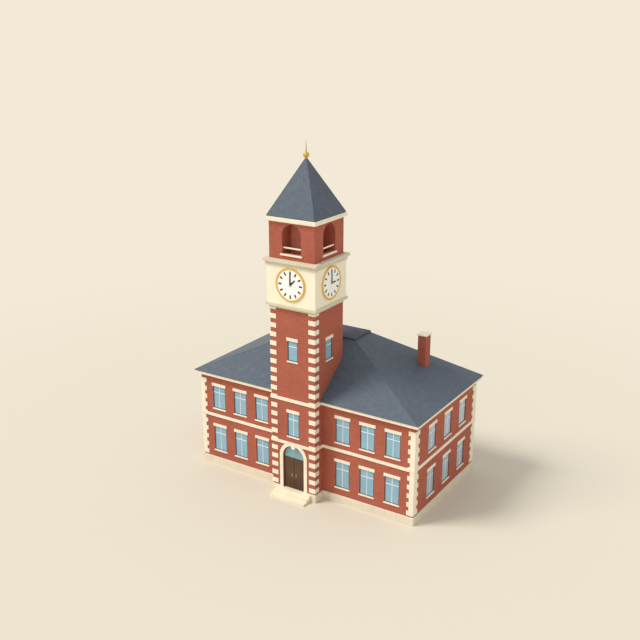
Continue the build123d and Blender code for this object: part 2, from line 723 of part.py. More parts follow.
# ---- steps
def entrance_steps():
    """One stone flight that ends in the threshold between the piers."""
    flight = slab(-HALF_DOOR, HALF_DOOR, 0, TOWER_WALL, 0, LANDING_TOP)
    edge = HALF_DOOR + SURROUND_WIDTH
    flight += slab(-edge, edge, -PLINTH_PROUD, 0, 0, LANDING_TOP)
    for index in range(STEP_COUNT):
        reach = LANDING + (STEP_COUNT - 1 - index) * STEP_TREAD
        flight += slab(-STEP_WIDTH / 2, STEP_WIDTH / 2, -reach, -PLINTH_PROUD,
                       index * STEP_RISE, (index + 1) * STEP_RISE)
    return tower_face("front") * flight.clean()


# ---- clock stage
def clock_cornices():
    """Mouldings under and over the clock stage, and under the tower's roof."""
    inner = -TOWER_WALL
    lip = TOWER_TOP + CLOCK_FOOT
    foot = [(inner, TOWER_TOP), (CLOCK_FOOT_PROUD, TOWER_TOP), (CLOCK_FOOT_PROUD, lip),
            (CLOCK_LIP_PROUD, lip), (CLOCK_LIP_PROUD, CLOCK_BOTTOM), (inner, CLOCK_BOTTOM)]
    step = CLOCK_BODY_TOP + CAP_STEP
    cap = [(inner, CLOCK_BODY_TOP), (CAP_STEP_PROUD, CLOCK_BODY_TOP), (CAP_STEP_PROUD, step),
           (CAP_LIP_PROUD, step), (CAP_LIP_PROUD, BELFRY_BOTTOM), (inner, BELFRY_BOTTOM)]
    bed = BELFRY_TOP + BELFRY_CORNICE_STEP
    head = [(inner, BELFRY_TOP), (BELFRY_CORNICE_STEP_PROUD, BELFRY_TOP), (BELFRY_CORNICE_STEP_PROUD, bed),
            (BELFRY_CORNICE_PROUD, bed), (BELFRY_CORNICE_PROUD, SPIRE_BOTTOM), (inner, SPIRE_BOTTOM)]
    return [piece for profile in (foot, cap, head) for piece in square_ring(profile, HALF_TOWER)]


def clock_walls():
    """Plastered walls of the clock stage, each bored for the arbor of its dial."""
    profile = [(-CLOCK_WALL, CLOCK_BOTTOM), (0, CLOCK_BOTTOM), (0, CLOCK_BODY_TOP),
               (-CLOCK_WALL, CLOCK_BODY_TOP)]
    walls = []
    reach = CLOCK_HALF - JOINT
    for side in SIDES:
        bore = Pos(0, CLOCK_WALL / 2, DIAL_CENTRE) * Rot(90, 0, 0) * Cylinder(ARBOR_HOLE, CLOCK_WALL + 2)
        walls.append(tower_face(side, CLOCK_HALF) * (run(profile, -reach, reach, 1, 1) - bore))
    return walls


def disc(radius, front, back):
    """Disc about the dial's centre, between two depths in front of the wall."""
    return Pos(0, -(front + back) / 2, DIAL_CENTRE) * Rot(90, 0, 0) * Cylinder(radius, front - back)


def dials():
    """White dial on each side, bored for the hour pipe."""
    dial = disc(DIAL_RADIUS, DIAL_THICKNESS, 0) - disc(PIPE_RADIUS + ARBOR_CLEARANCE, DIAL_THICKNESS + 1, -1)
    return [tower_face(side, CLOCK_HALF) * dial for side in SIDES]


def dial_rims():
    """Rounded ring that holds each dial."""
    ring = disc(RIM_RADIUS, RIM_THICKNESS, 0) - disc(DIAL_RADIUS, RIM_THICKNESS + 1, -1)
    edges = ring.edges().filter_by(GeomType.CIRCLE).group_by(Axis.Y)[0]
    ring = fillet(edges, (RIM_RADIUS - DIAL_RADIUS) / 4)
    return [tower_face(side, CLOCK_HALF) * ring for side in SIDES]


def hour_marks():
    """Twelve raised marks on each dial."""
    mark = slab(-MARK_WIDTH / 2, MARK_WIDTH / 2, -DIAL_THICKNESS - MARK_THICKNESS, -DIAL_THICKNESS,
                MARK_RADIUS - MARK_LENGTH / 2, MARK_RADIUS + MARK_LENGTH / 2)
    marks = []
    for side in SIDES:
        for hour in range(12):
            turned = Pos(0, 0, DIAL_CENTRE) * Rot(0, hour * 30, 0) * mark
            marks.append(tower_face(side, CLOCK_HALF) * turned)
    return marks


def hand(length, width, lift, shaft, bore, angle):
    """Tapered hand with a round hub, on a shaft that reaches through the dial into the wall."""
    back = DIAL_THICKNESS + lift
    front = back + HAND_THICKNESS
    tip = width * HAND_TIP / 2
    points = [(-width / 2, -back, -HAND_TAIL), (width / 2, -back, -HAND_TAIL), (width / 2, -back, 0),
              (tip, -back, length), (-tip, -back, length), (-width / 2, -back, 0)]
    blade = extrude(Face(Wire.make_polygon(points, close=True)), amount=HAND_THICKNESS, dir=(0, -1, 0))
    blade = Pos(0, 0, DIAL_CENTRE) * Rot(0, angle, 0) * blade
    body = blade + disc(HAND_HUB, front, back) + disc(shaft, front, -ARBOR_REACH)
    return body - disc(bore, front + 1, -ARBOR_REACH - 1) if bore else body


def minute_hand(side):
    """Minute hand at twelve, on the inner arbor."""
    return tower_face(side, CLOCK_HALF) * hand(
        MINUTE_LENGTH, MINUTE_WIDTH, MINUTE_HAND_LIFT, ARBOR_RADIUS, 0, 0)


def hour_hand(side):
    """Hour hand on the pipe round the arbor."""
    angle = FRONT_HOUR_ANGLE if side in ("front", "back") else RIGHT_HOUR_ANGLE
    return tower_face(side, CLOCK_HALF) * hand(
        HOUR_LENGTH, HOUR_WIDTH, HOUR_HAND_LIFT, PIPE_RADIUS, ARBOR_RADIUS + ARBOR_CLEARANCE, angle)


# ---- belfry
def belfry_piers():
    """Brick piers at the four corners."""
    far = HALF_TOWER
    near = HALF_TOWER - BELFRY_PIER
    pier = Pos(0, TOWER_MIDDLE, 0) * slab(near, far, near, far, BELFRY_BOTTOM, BELFRY_TOP)
    return [Pos(0, TOWER_MIDDLE, 0) * Rot(0, 0, turn) * Pos(0, -TOWER_MIDDLE, 0) * pier
            for turn in (0, 90, 180, 270)]


def belfry_walls():
    """Low wall under each sill, and the vaulted head of each opening."""
    half = BELFRY_OPENING / 2
    parapet = slab(-half, half, 0, BELFRY_WALL, BELFRY_BOTTOM, BELFRY_SILL_TOP - BELFRY_SILL_HEIGHT)
    parapet += slab(-half, half, BELFRY_SILL_SEAT, BELFRY_WALL, BELFRY_BOTTOM, BELFRY_SILL_TOP)
    depth = BELFRY_PIER - JOINT
    head = slab(-half, half, 0, depth, BELFRY_SPRING, BELFRY_TOP)
    head -= Pos(0, depth / 2, BELFRY_SPRING) * Rot(90, 0, 0) * Cylinder(half, depth + 2)
    return [tower_face(side) * piece for side in SIDES for piece in (parapet, head)]


def belfry_recesses():
    """Brick wall that closes the back of each recess."""
    profile = [(-RECESS_WALL, BELFRY_BOTTOM), (0, BELFRY_BOTTOM), (0, BELFRY_TOP), (-RECESS_WALL, BELFRY_TOP)]
    return square_ring(profile, HALF_TOWER - BELFRY_PIER)


def belfry_sills():
    """Stone sill of each opening."""
    half = BELFRY_OPENING / 2
    bottom = BELFRY_SILL_TOP - BELFRY_SILL_HEIGHT
    reach = half + BELFRY_SILL_BEARING
    sill = slab(-half, half, 0, BELFRY_SILL_SEAT, bottom, BELFRY_SILL_TOP)
    sill += slab(-reach, reach, -BELFRY_SILL_PROUD, 0, bottom, BELFRY_SILL_TOP)
    return [tower_face(side) * sill for side in SIDES]


def belfry_rails():
    """Rail across each opening, let in between the piers."""
    half = BELFRY_OPENING / 2
    rail = slab(-half, half, RAIL_RECESS, RAIL_RECESS + RAIL_DEPTH, RAIL_TOP - RAIL_HEIGHT, RAIL_TOP)
    return [tower_face(side) * rail for side in SIDES]


# ---- tower roof and finial
def spire_roof():
    """Hollow four-sided slate roof, cut flat at the top for the finial."""
    edge = SPIRE_BOTTOM + SPIRE_EDGE
    slope = SPIRE_HALF / (SPIRE_APEX - edge)
    top = (SPIRE_APEX - SPIRE_CUT) * slope
    outer = frustum(SPIRE_HALF, SPIRE_HALF, edge, top, top, SPIRE_CUT)
    outer += slab(-SPIRE_HALF, SPIRE_HALF, -SPIRE_HALF, SPIRE_HALF, SPIRE_BOTTOM, edge)
    hollow = SPIRE_APEX - SPIRE_THICKNESS - SPIRE_BOTTOM
    flat = SPIRE_HOLLOW_FLAT * slope
    inner = frustum(hollow * slope, hollow * slope, SPIRE_BOTTOM,
                    flat, flat, SPIRE_BOTTOM + hollow - SPIRE_HOLLOW_FLAT)
    return Pos(0, TOWER_MIDDLE, 0) * (outer - inner)


def finial():
    """Gilded collar, ball and tapering spike, turned about the tower's axis."""
    with BuildPart() as turned:
        with BuildSketch(Plane.XZ):
            with BuildLine():
                neck = FINIAL_NECK
                tip = FINIAL_NECK + FINIAL_SPIKE
                ball_foot = (FINIAL_BALL ** 2 - FINIAL_COLLAR ** 2) ** 0.5
                ball_head = (FINIAL_BALL ** 2 - FINIAL_STEM ** 2) ** 0.5
                Line((0, 0), (FINIAL_COLLAR, 0))
                Line((FINIAL_COLLAR, 0), (FINIAL_COLLAR, neck - ball_foot))
                ThreePointArc((FINIAL_COLLAR, neck - ball_foot), (FINIAL_BALL, neck),
                              (FINIAL_STEM, neck + ball_head))
                Line((FINIAL_STEM, neck + ball_head), (FINIAL_TIP, tip))
                Line((FINIAL_TIP, tip), (0, tip))
                Line((0, tip), (0, 0))
            make_face()
        revolve(axis=Axis.Z)
    return Pos(0, TOWER_MIDDLE, SPIRE_CUT) * turned.part


def main():
    """Build every node and write it."""
    os.makedirs("parts", exist_ok=True)
    windows = window_list() + tower_window_list()
    face = tower_face("front")
    edge = HALF_WIDTH
    inner_side = DEPTH / 2 - WALL

    save("block_floors", block_floors())
    save("front_wall_left", [block_wall("front", -edge, -HALF_TOWER)])
    save("front_wall_right", [block_wall("front", HALF_TOWER, edge)])
    save("left_wall", [block_wall("left", -inner_side, inner_side)])
    save("right_wall", [block_wall("right", -inner_side, inner_side)])
    save("back_wall", [block_wall("back", -edge, edge)])
    save("tower_floors", tower_floors())
    save("tower_piers", tower_piers())
    for side in SIDES:
        save("tower_%s_wall" % side, [tower_wall(side)])
    save("plinth", plinth())
    save("string_courses", string_courses())
    save("corner_quoins", corner_quoins())
    save("tower_quoins", tower_quoins())
    save("window_frames", [window_frame(window) for window in windows])
    save("window_glass", [window_pane(window) for window in windows])
    save("window_dressings", [piece for window in windows for piece in window_dressing(window)])
    save("eaves_cornice", eaves_cornice())
    save("hip_roof", hip_roof())
    save("roof_deck", [roof_deck()])
    save("chimney_stack", [chimney_stack()])
    save("chimney_cap", [chimney_cap()])
    save("entrance_steps", [entrance_steps()])
    save("door_surround", [door_surround()])
    save("door_frame", [door_frame()])
    save("door_hinges", door_hinges())
    save("fanlight_glass", [fanlight_glass()])
    save("door_leaf_right", [face * door_leaf()])
    save("door_leaf_left", [face * mirror(door_leaf(), Plane.YZ)])
    save("leaf_fittings_right", [face * piece for piece in leaf_fittings()])
    save("leaf_fittings_left", [face * mirror(piece, Plane.YZ) for piece in leaf_fittings()])
    save("tower_cornices", clock_cornices())
    save("clock_walls", clock_walls())
    save("clock_dials", dials())
    save("dial_rims", dial_rims())
    save("hour_marks", hour_marks())
    for side in SIDES:
        save("minute_hand_%s" % side, [minute_hand(side)])
        save("hour_hand_%s" % side, [hour_hand(side)])
    save("belfry_piers", belfry_piers())
    save("belfry_walls", belfry_walls())
    save("belfry_recesses", belfry_recesses())
    save("belfry_sills", belfry_sills())
    save("belfry_rails", belfry_rails())
    save("spire_roof", [spire_roof()])
    save("finial", [finial()])


main()
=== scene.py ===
# %% [markdown]
# # A brick town hall with a clock tower
# The solids come from a CAD model: walls, floors, window frames, doors, roofs and clocks, at
# their real size in metres. This script loads them as a fixed frame, gives every surface its
# finish, and adds what is too fine for the solids: slates, glazing bars, lead rolls and the
# eased edges of cut stone. Each step is explained before its code.

# %% Load the frame
import math
import random

import bmesh
import bpy
from mathutils import Matrix, Vector


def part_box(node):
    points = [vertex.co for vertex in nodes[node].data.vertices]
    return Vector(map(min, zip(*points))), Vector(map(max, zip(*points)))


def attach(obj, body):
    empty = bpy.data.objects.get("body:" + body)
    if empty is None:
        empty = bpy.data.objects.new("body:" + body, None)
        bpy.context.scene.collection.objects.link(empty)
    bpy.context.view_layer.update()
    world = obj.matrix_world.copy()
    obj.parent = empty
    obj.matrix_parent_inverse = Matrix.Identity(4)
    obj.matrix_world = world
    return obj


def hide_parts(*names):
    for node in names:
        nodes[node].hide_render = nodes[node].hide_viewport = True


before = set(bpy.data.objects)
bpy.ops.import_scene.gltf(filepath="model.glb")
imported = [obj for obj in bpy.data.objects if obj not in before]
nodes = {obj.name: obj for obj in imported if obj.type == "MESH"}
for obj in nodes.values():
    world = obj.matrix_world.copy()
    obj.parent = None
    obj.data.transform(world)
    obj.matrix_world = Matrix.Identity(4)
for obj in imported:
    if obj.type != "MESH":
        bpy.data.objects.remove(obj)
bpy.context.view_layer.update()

# %% [markdown]
# ## Colours
# Blender's shaders work in linear light, while people name a colour as a screen shows it. A
# colour could be picked by eye in the editor, but the screen's own numbers, 0 to 255, are
# easier to read and to change in a script. `paint` turns them into the linear values that a
# shader needs.

# %% Screen colours for shaders


def paint(red, green, blue):
    """Screen colour to the linear colour of a shader socket."""
    channels = [value / 255 for value in (red, green, blue)]
    linear = [c / 12.92 if c <= 0.04045 else ((c + 0.055) / 1.055) ** 2.4 for c in channels]
    return (*linear, 1.0)


WHITE = paint(255, 255, 255)
print("half of a screen's brightness is", round(paint(128, 128, 128)[0], 3), "of its light")

# %% [markdown]
# ## Shader trees
# A finish is a small tree of nodes: coordinates, a pattern, its colours and its relief, and
# the Principled shader at the end. The nodes could be joined by hand in the shader editor.
# Here a few helpers write them, so that each finish takes only some lines and its numbers
# stand together. Every pattern reads Object coordinates. They are in metres, so bricks and
# grain keep their real size on every piece, and they move along when a door opens.

# %% Helpers for shader trees


def wire(tree, kind, inputs=None, **options):
    """Add a shader node, set its options, then fill or link its inputs."""
    made = tree.nodes.new("ShaderNode" + kind)
    for key, value in options.items():
        setattr(made, key, value)
    for key, value in (inputs or {}).items():
        if isinstance(value, bpy.types.NodeSocket):
            tree.links.new(value, made.inputs[key])
        else:
            made.inputs[key].default_value = value
    return made


def new_finish(name, roughness):
    """An empty material: its node tree, its Principled shader and the Object coordinates."""
    material = bpy.data.materials.new(name)
    material.use_nodes = True
    tree = material.node_tree
    shader = tree.nodes["Principled BSDF"]
    shader.inputs["Roughness"].default_value = roughness
    place = wire(tree, "TexCoord").outputs["Object"]
    return material, tree, shader, place


def noise(tree, place, **inputs):
    """Soft random pattern. The inputs are the Noise Texture's own: Scale, Detail and others."""
    return wire(tree, "TexNoise", {"Vector": place, **inputs}).outputs["Fac"]


def reckon(tree, operation, first, second=None):
    """One sum of a Math node, on numbers or links."""
    inputs = {0: first} if second is None else {0: first, 1: second}
    return wire(tree, "Math", inputs, operation=operation).outputs[0]


def ramp(tree, factor, stops):
    """Colour ramp with the given (position, colour) stops."""
    made = wire(tree, "ValToRGB", {"Fac": factor})
    elements = made.color_ramp.elements
    while len(elements) < len(stops):
        elements.new(0.5)
    for element, (position, colour) in zip(elements, stops):
        element.position = position
        element.color = colour
    return made.outputs["Color"]


def two_tone(tree, pattern, dark, light, dark_below=0.3, light_above=0.7):
    """A pattern in two colours, with a soft change from one to the other."""
    return ramp(tree, pattern, [(dark_below, dark), (light_above, light)])


def shaded(tree, colour, shade, share=1.0):
    """A colour multiplied by a shade, which only darkens it, as far as the share says."""
    inputs = {"Fac": share, "Color1": colour, "Color2": shade}
    return wire(tree, "MixRGB", inputs, blend_type="MULTIPLY").outputs[0]


def bump(tree, shader, height, distance, strength, below=None):
    """Relief on the shader, of a depth in metres, optionally on top of another relief."""
    inputs = {"Height": height, "Distance": distance, "Strength": strength}
    if below:
        inputs["Normal"] = below
    made = wire(tree, "Bump", inputs)
    tree.links.new(made.outputs["Normal"], shader.inputs["Normal"])
    return made.outputs["Normal"]


print("helpers ready: wire, new_finish, noise, reckon, ramp, two_tone, shaded and bump")

# %% [markdown]
# ## Brick
# A real brick is 215 mm long and 65 mm high, and its mortar is 10 mm thick, so the pattern
# repeats every 225 mm along the wall and every 75 mm up. Each brick could be modelled, but
# there are tens of thousands of them and they hardly stand out from the wall, so a Brick
# Texture draws them. It draws on one plane, while the walls face four ways. They are all
# square to each other, so x + y runs along every one of them and z runs up, and one pair of
# numbers serves all four. Two reds differ from brick to brick, a slow noise fires some areas
# darker, and a bump presses the mortar in.

# %% Brick finishes
BRICK_LENGTH = 0.225            # a brick and its joint
BRICK_COURSE = 0.075
MORTAR = 0.006                  # from the brick to the middle of the joint, edges softened
MORTAR_DEPTH = 0.006
BRICK_GRAIN = 0.002
RED_BIAS = -0.1                 # a few more bricks of the first red
DARK_FIRED = paint(240, 240, 240)


def wall_plane(tree, place):
    """Coordinates for a flat pattern: along any of the walls, and up."""
    axes = wire(tree, "SeparateXYZ", {"Vector": place}).outputs
    along = reckon(tree, "ADD", axes["X"], axes["Y"])
    return wire(tree, "CombineXYZ", {"X": along, "Y": axes["Z"]}).outputs[0]


def brick_finish(name, red, deep, mortar):
    """Fired brick in mortar."""
    material, tree, shader, place = new_finish(name, roughness=0.85)
    courses = wire(tree, "TexBrick", {
        "Vector": wall_plane(tree, place), "Scale": 1.0, "Bias": RED_BIAS,
        "Mortar Size": MORTAR, "Mortar Smooth": 0.3,
        "Brick Width": BRICK_LENGTH, "Row Height": BRICK_COURSE,
        "Color1": red, "Color2": deep, "Mortar": mortar}).outputs
    firing = noise(tree, place, Scale=0.35, Detail=5.0, Roughness=0.6)
    shade = two_tone(tree, firing, DARK_FIRED, WHITE, dark_below=0.35, light_above=0.65)
    tree.links.new(shaded(tree, courses["Color"], shade), shader.inputs["Base Color"])
    grain = noise(tree, place, Scale=60.0, Detail=4.0)
    rough = bump(tree, shader, grain, distance=BRICK_GRAIN, strength=0.5)
    raised = reckon(tree, "SUBTRACT", 1.0, courses["Fac"])
    bump(tree, shader, raised, distance=MORTAR_DEPTH, strength=0.8, below=rough)
    return material


brick = brick_finish("fired_brick", paint(189, 101, 77), paint(175, 89, 67), paint(182, 108, 88))
# Painted light: the belfry recesses get a paler, pinker brick, standing for the light that falls
# into them.
recess_brick_painted_light = brick_finish(
    "paler_recess_brick_painted_light", paint(226, 140, 118), paint(216, 128, 106), paint(220, 146, 128))
print("brick finishes:", brick.name, "and", recess_brick_painted_light.name)

# %% [markdown]
# ## Cut stone and render
# The plinth, the courses, the corner stones, the lintels and the steps are cream limestone,
# and the walls around the clocks have a smooth coat of cream render. Limestone is nearly one
# colour. What makes it stone is a faint clouding, tiny pits and, on long courses, a fine
# joint every metre or so. Every stone could be a block of its own, but a joint is only a few
# millimetres wide, so the shader draws it as well, with rows so tall that no level joint
# shows. One recipe serves all: a `joint` length draws the joints, and without one it is a
# single block or render. The steps are more weathered. The plinth is a darker stone, partly
# as painted shade near the ground, and the cornices around the clocks are a darker stone as
# painted shade on their mouldings.

# %% Stone finishes
STONE_LENGTH = 1.1              # from joint to joint along a course
STONE_JOINT = 0.008
JOINT_DEPTH = 0.006
JOINT_SHADE = paint(190, 186, 176)
NO_LEVEL_JOINT = 100.0          # rows taller than the building
STONE_PITS = 0.002
RENDER_PITS = 0.001


def stone_finish(name, colour, dark, roughness=0.75, joint=0.0, pitting=STONE_PITS):
    """Cream stone, clouded and pitted, with upright joints if a length is given."""
    material, tree, shader, place = new_finish(name, roughness)
    cloud = noise(tree, place, Scale=0.9, Detail=6.0, Roughness=0.65)
    surface = two_tone(tree, cloud, dark, colour, light_above=0.62)
    pits = noise(tree, place, Scale=45.0, Detail=5.0, Roughness=0.7)
    relief = bump(tree, shader, pits, distance=pitting, strength=0.6)
    if joint:
        stones = wire(tree, "TexBrick", {
            "Vector": wall_plane(tree, place), "Scale": 1.0,
            "Mortar Size": STONE_JOINT / 2, "Mortar Smooth": 0.2,
            "Brick Width": joint, "Row Height": NO_LEVEL_JOINT,
            "Color1": WHITE, "Color2": WHITE, "Mortar": JOINT_SHADE}, offset=0.0).outputs
        surface = shaded(tree, surface, stones["Color"])
        raised = reckon(tree, "SUBTRACT", 1.0, stones["Fac"])
        bump(tree, shader, raised, distance=JOINT_DEPTH, strength=0.7, below=relief)
    tree.links.new(surface, shader.inputs["Base Color"])
    return material


CREAM = paint(250, 240, 216)
CREAM_SHADE = paint(242, 230, 204)
block_stone = stone_finish("cream_block_stone", CREAM, CREAM_SHADE)
course_stone = stone_finish("cream_course_stone", CREAM, CREAM_SHADE, joint=STONE_LENGTH)
# Painted shade: the cornices around the clocks get a darker stone, standing for the shade on their
# mouldings.
shaded_cornice_stone = stone_finish(
    "painted_shade_cornice_stone", paint(222, 214, 188), paint(213, 204, 179), joint=STONE_LENGTH)
# The plinth stone is darker than the other cream stone, partly as painted shade for the shade near
# the ground.
plinth_stone = stone_finish(
    "darker_plinth_stone", paint(235, 222, 199), paint(225, 212, 189), joint=STONE_LENGTH)
step_stone = stone_finish(
    "worn_step_stone", paint(249, 235, 207), paint(239, 223, 195), roughness=0.6)
render_coat = stone_finish(
    "cream_render", paint(252, 244, 220), paint(247, 238, 213), roughness=0.8,
    pitting=RENDER_PITS)
print("stone finishes:", ", ".join(material.name for material in (
    block_stone, course_stone, shaded_cornice_stone, plinth_stone, step_stone, render_coat)))

# %% [markdown]
# ## Slate
# Slate splits into thin sheets with a rippled face, and as it is quarried, one slate is a
# little bluer or paler than the next. Giving every slate a material of its own would make
# thousands of them. Instead each slate carries a number, `tone`, which is written on its
# faces when it is laid, and one material reads that number with an Attribute node and picks
# the shade. A soft noise clouds the whole slope, and a distorted one gives the riven face.

# %% Slate finish
SLATE_SHADES = [(0.0, paint(88, 98, 111)), (0.5, paint(91, 101, 114)), (1.0, paint(95, 105, 117))]
SLATE_CLOUD = paint(248, 248, 249)
SLATE_SHEEN = 0.3               # the shader starts at 0.5, and riven slate shines less
RIVEN_DEPTH = 0.002


def slate_finish():
    """Riven slate whose colour follows the number on each slate."""
    material, tree, shader, place = new_finish("riven_slate", roughness=0.62)
    shader.inputs["Specular IOR Level"].default_value = SLATE_SHEEN
    tone = wire(tree, "Attribute", attribute_name="tone").outputs["Fac"]
    shades = ramp(tree, tone, SLATE_SHADES)
    cloud = noise(tree, place, Scale=2.2, Detail=6.0)
    veil = two_tone(tree, cloud, SLATE_CLOUD, WHITE)
    tree.links.new(shaded(tree, shades, veil), shader.inputs["Base Color"])
    riven = noise(tree, place, Scale=18.0, Detail=6.0, Distortion=0.6)
    bump(tree, shader, riven, distance=RIVEN_DEPTH, strength=0.4)
    return material


slate = slate_finish()
print("slate finish:", slate.name, "in", len(SLATE_SHADES), "shades")

# %% [markdown]
# ## Lead
# The flat top of the roof is sheet lead, and so are the rolls on the hips. Weathered lead is
# a dull grey skin on soft metal, closer to stone than to a mirror, so a metallic shader
# would be too bright. A plain rough surface does better, with a clouded colour and the slow
# dents of hand-dressed sheet.

# %% Lead finishes
LEAD_DENTS = 0.004


def lead_finish(name, dark, light):
    """Weathered sheet lead."""
    material, tree, shader, place = new_finish(name, roughness=0.8)
    cloud = noise(tree, place, Scale=1.6, Detail=7.0, Roughness=0.6)
    tree.links.new(two_tone(tree, cloud, dark, light), shader.inputs["Base Color"])
    dents = noise(tree, place, Scale=5.0, Detail=3.0)
    bump(tree, shader, dents, distance=LEAD_DENTS, strength=0.4)
    return material


deck_lead = lead_finish("deck_lead", paint(66, 73, 87), paint(72, 79, 93))
hip_lead = lead_finish("hip_lead", paint(84, 95, 109), paint(90, 101, 115))
print("lead finishes:", deck_lead.name, "and", hip_lead.name)

# %% [markdown]
# ## Timber
# The floors and the doors are boards. Wood grain is a noise seen through coordinates that
# are squeezed across the board and stretched along it, which a Mapping node does: the grain
# runs along the axis with the smallest scale. A Wave Texture could draw it too, but its
# rings are so even that boards look printed.

# %% Timber finish
GRAIN_DEPTH = 0.002
GRAIN_UP = (18.0, 18.0, 0.8)
GRAIN_BACK = (14.0, 0.7, 14.0)  # from the front of the building to its back


def timber_finish(name, light, dark, roughness, stretch):
    """Boards whose grain runs along the axis with the smallest scale."""
    material, tree, shader, place = new_finish(name, roughness)
    fibres = wire(tree, "Mapping", {"Vector": place, "Scale": stretch}).outputs[0]
    grain = noise(tree, fibres, Scale=1.5, Detail=8.0, Distortion=1.2)
    colour = two_tone(tree, grain, dark, light, light_above=0.65)
    tree.links.new(colour, shader.inputs["Base Color"])
    bump(tree, shader, grain, distance=GRAIN_DEPTH, strength=0.5)
    return material


floor_timber = timber_finish(
    "floor_boards", paint(150, 116, 82), paint(118, 88, 60), roughness=0.5, stretch=GRAIN_BACK)
print("timber finish:", floor_timber.name)

# %% [markdown]
# ## Door boards, darker at the foot, with painted shadow where the leaves meet
# The stained boards are darker towards the foot, and a band of painted shadow runs along the
# edges where the two leaves meet, for the shade in the gap between them. These marks could be
# painted on an image, but they only depend on the height and on the distance from the middle,
# and both can be read from the coordinates. So the plain timber is made first, and its colour
# is led through two more shades on its way to the shader.

# %% Door finish
DOOR_HEAD = 2.0                 # above this height the boards keep their colour
DOOR_FOOT = 1.1                 # below this height they are fully darkened
MEETING_EDGE = 0.05             # how far the dark edge of each leaf reaches from the middle
# Towards the foot the boards are darker.
FOOT_DARKENING = paint(213, 192, 177)
# Painted shadow where the leaves meet, for the shade in the gap between them.
MEETING_PAINTED_SHADOW = paint(190, 186, 182)


def door_finish(name, light, dark, roughness):
    """Door boards, darker towards the foot, with painted shadow along the edges where the leaves
    meet.
    """
    material = timber_finish(name, light, dark, roughness, GRAIN_UP)
    tree = material.node_tree
    base = tree.nodes["Principled BSDF"].inputs["Base Color"]
    boards = base.links[0].from_socket
    place = wire(tree, "TexCoord").outputs["Object"]
    axes = wire(tree, "SeparateXYZ", {"Vector": place}).outputs
    height = wire(tree, "MapRange", {
        "Value": axes["Z"], "From Min": DOOR_FOOT, "From Max": DOOR_HEAD}).outputs[0]
    foot_darkening = two_tone(tree, height, FOOT_DARKENING, WHITE, dark_below=0.0, light_above=1.0)
    darker_foot_boards = shaded(tree, boards, foot_darkening)
    # Painted shadow: a darker band along the edges where the leaves meet.
    reach = reckon(tree, "ABSOLUTE", axes["X"])
    in_meeting_shadow = reckon(tree, "LESS_THAN", reach, MEETING_EDGE)
    tree.links.new(shaded(tree, darker_foot_boards, MEETING_PAINTED_SHADOW, in_meeting_shadow), base)
    return material


door_timber = door_finish(
    "stained_door_boards", paint(104, 72, 48), paint(74, 50, 33), roughness=0.45)
print("door finish:", door_timber.name, "darkened from", DOOR_HEAD, "m down to", DOOR_FOOT, "m")

# %% [markdown]
# ## Paint, gilding, brass and enamel
# These coats are smooth, so what tells them apart is how they shine. Painted wood shows soft
# brush marks, gold leaf and brass are partly metallic, and the dials are white enamel with
# black hands and marks. A colour alone would look like plastic. So one noise changes the
# colour and the shine together, as an uneven coat does, and a finer one gives the brush
# marks. Only the numbers differ from coat to coat.

# %% Smooth coats
SHINIEST = 0.8                  # shares of a coat's roughness, where it shines most and least
DULLEST = 1.25
BRUSH_DEPTH = 0.0006
BRUSH_FINENESS = 12             # brush marks to one cloud of colour


def coat_finish(name, colour, dark, roughness, metallic=0.0, scale=6.0):
    """Smooth coat with slow changes of colour and of shine."""
    material, tree, shader, place = new_finish(name, roughness)
    shader.inputs["Metallic"].default_value = metallic
    cloud = noise(tree, place, Scale=scale, Detail=5.0, Roughness=0.6)
    tree.links.new(two_tone(tree, cloud, dark, colour), shader.inputs["Base Color"])
    shine = wire(tree, "MapRange", {
        "Value": cloud, "To Min": roughness * SHINIEST, "To Max": roughness * DULLEST})
    tree.links.new(shine.outputs[0], shader.inputs["Roughness"])
    brushed = noise(tree, place, Scale=scale * BRUSH_FINENESS, Detail=3.0)
    bump(tree, shader, brushed, distance=BRUSH_DEPTH, strength=0.5)
    return material


window_paint = coat_finish(
    "white_window_paint", paint(255, 255, 252), paint(248, 248, 243), roughness=0.4)
# The window rims are dark paint that also stands as painted shade around the panes.
rim_paint_and_painted_shade = coat_finish(
    "dark_rim_paint_and_painted_shade", paint(74, 66, 62), paint(60, 53, 50), roughness=0.5)
gilding = coat_finish(
    "gold_leaf", paint(236, 198, 98), paint(218, 176, 78), roughness=0.42,
    metallic=0.35, scale=8.0)
weathered_gilding = coat_finish(
    "weathered_gold_leaf", paint(212, 188, 96), paint(190, 166, 76), roughness=0.5,
    metallic=0.3, scale=8.0)
polished_brass = coat_finish(
    "polished_brass", paint(250, 234, 196), paint(238, 216, 170), roughness=0.4,
    metallic=0.2, scale=10.0)
dial_enamel = coat_finish(
    "dial_enamel", paint(255, 255, 252), paint(253, 252, 246), roughness=0.35, scale=2.0)
black_paint = coat_finish(
    "black_hand_paint", paint(30, 30, 32), paint(20, 20, 22), roughness=0.4, scale=9.0)
print("smooth coats:", ", ".join(material.name for material in (
    window_paint, rim_paint_and_painted_shade, gilding, weathered_gilding, polished_brass, dial_enamel,
    black_paint)))

# %% [markdown]
# ## Window glass
# By day a window shows more of the sky than of the room behind it, and old panes aren't
# quite flat. Fully clear glass would let the dark inside show. So the panes carry a painted
# reflection of the sky, a faint blue colour, and let only a little light through, and slow
# waves bend what they mirror. The windows in the end walls face another part of the sky, so
# their painted reflection is greyer. All panes are one solid, so the material finds the end
# walls by their distance from the middle.

# %% Glass finishes
GLASS_IOR = 1.5
LET_THROUGH = 0.12              # share of the light that passes through a pane
GLASS_WAVES = 0.01
END_PANES_FROM = 10.0           # panes further than this from the middle are in the end walls
# Painted reflection: the end-wall panes show a greyer part of the sky.
END_PAINTED_REFLECTION = paint(181, 203, 217)


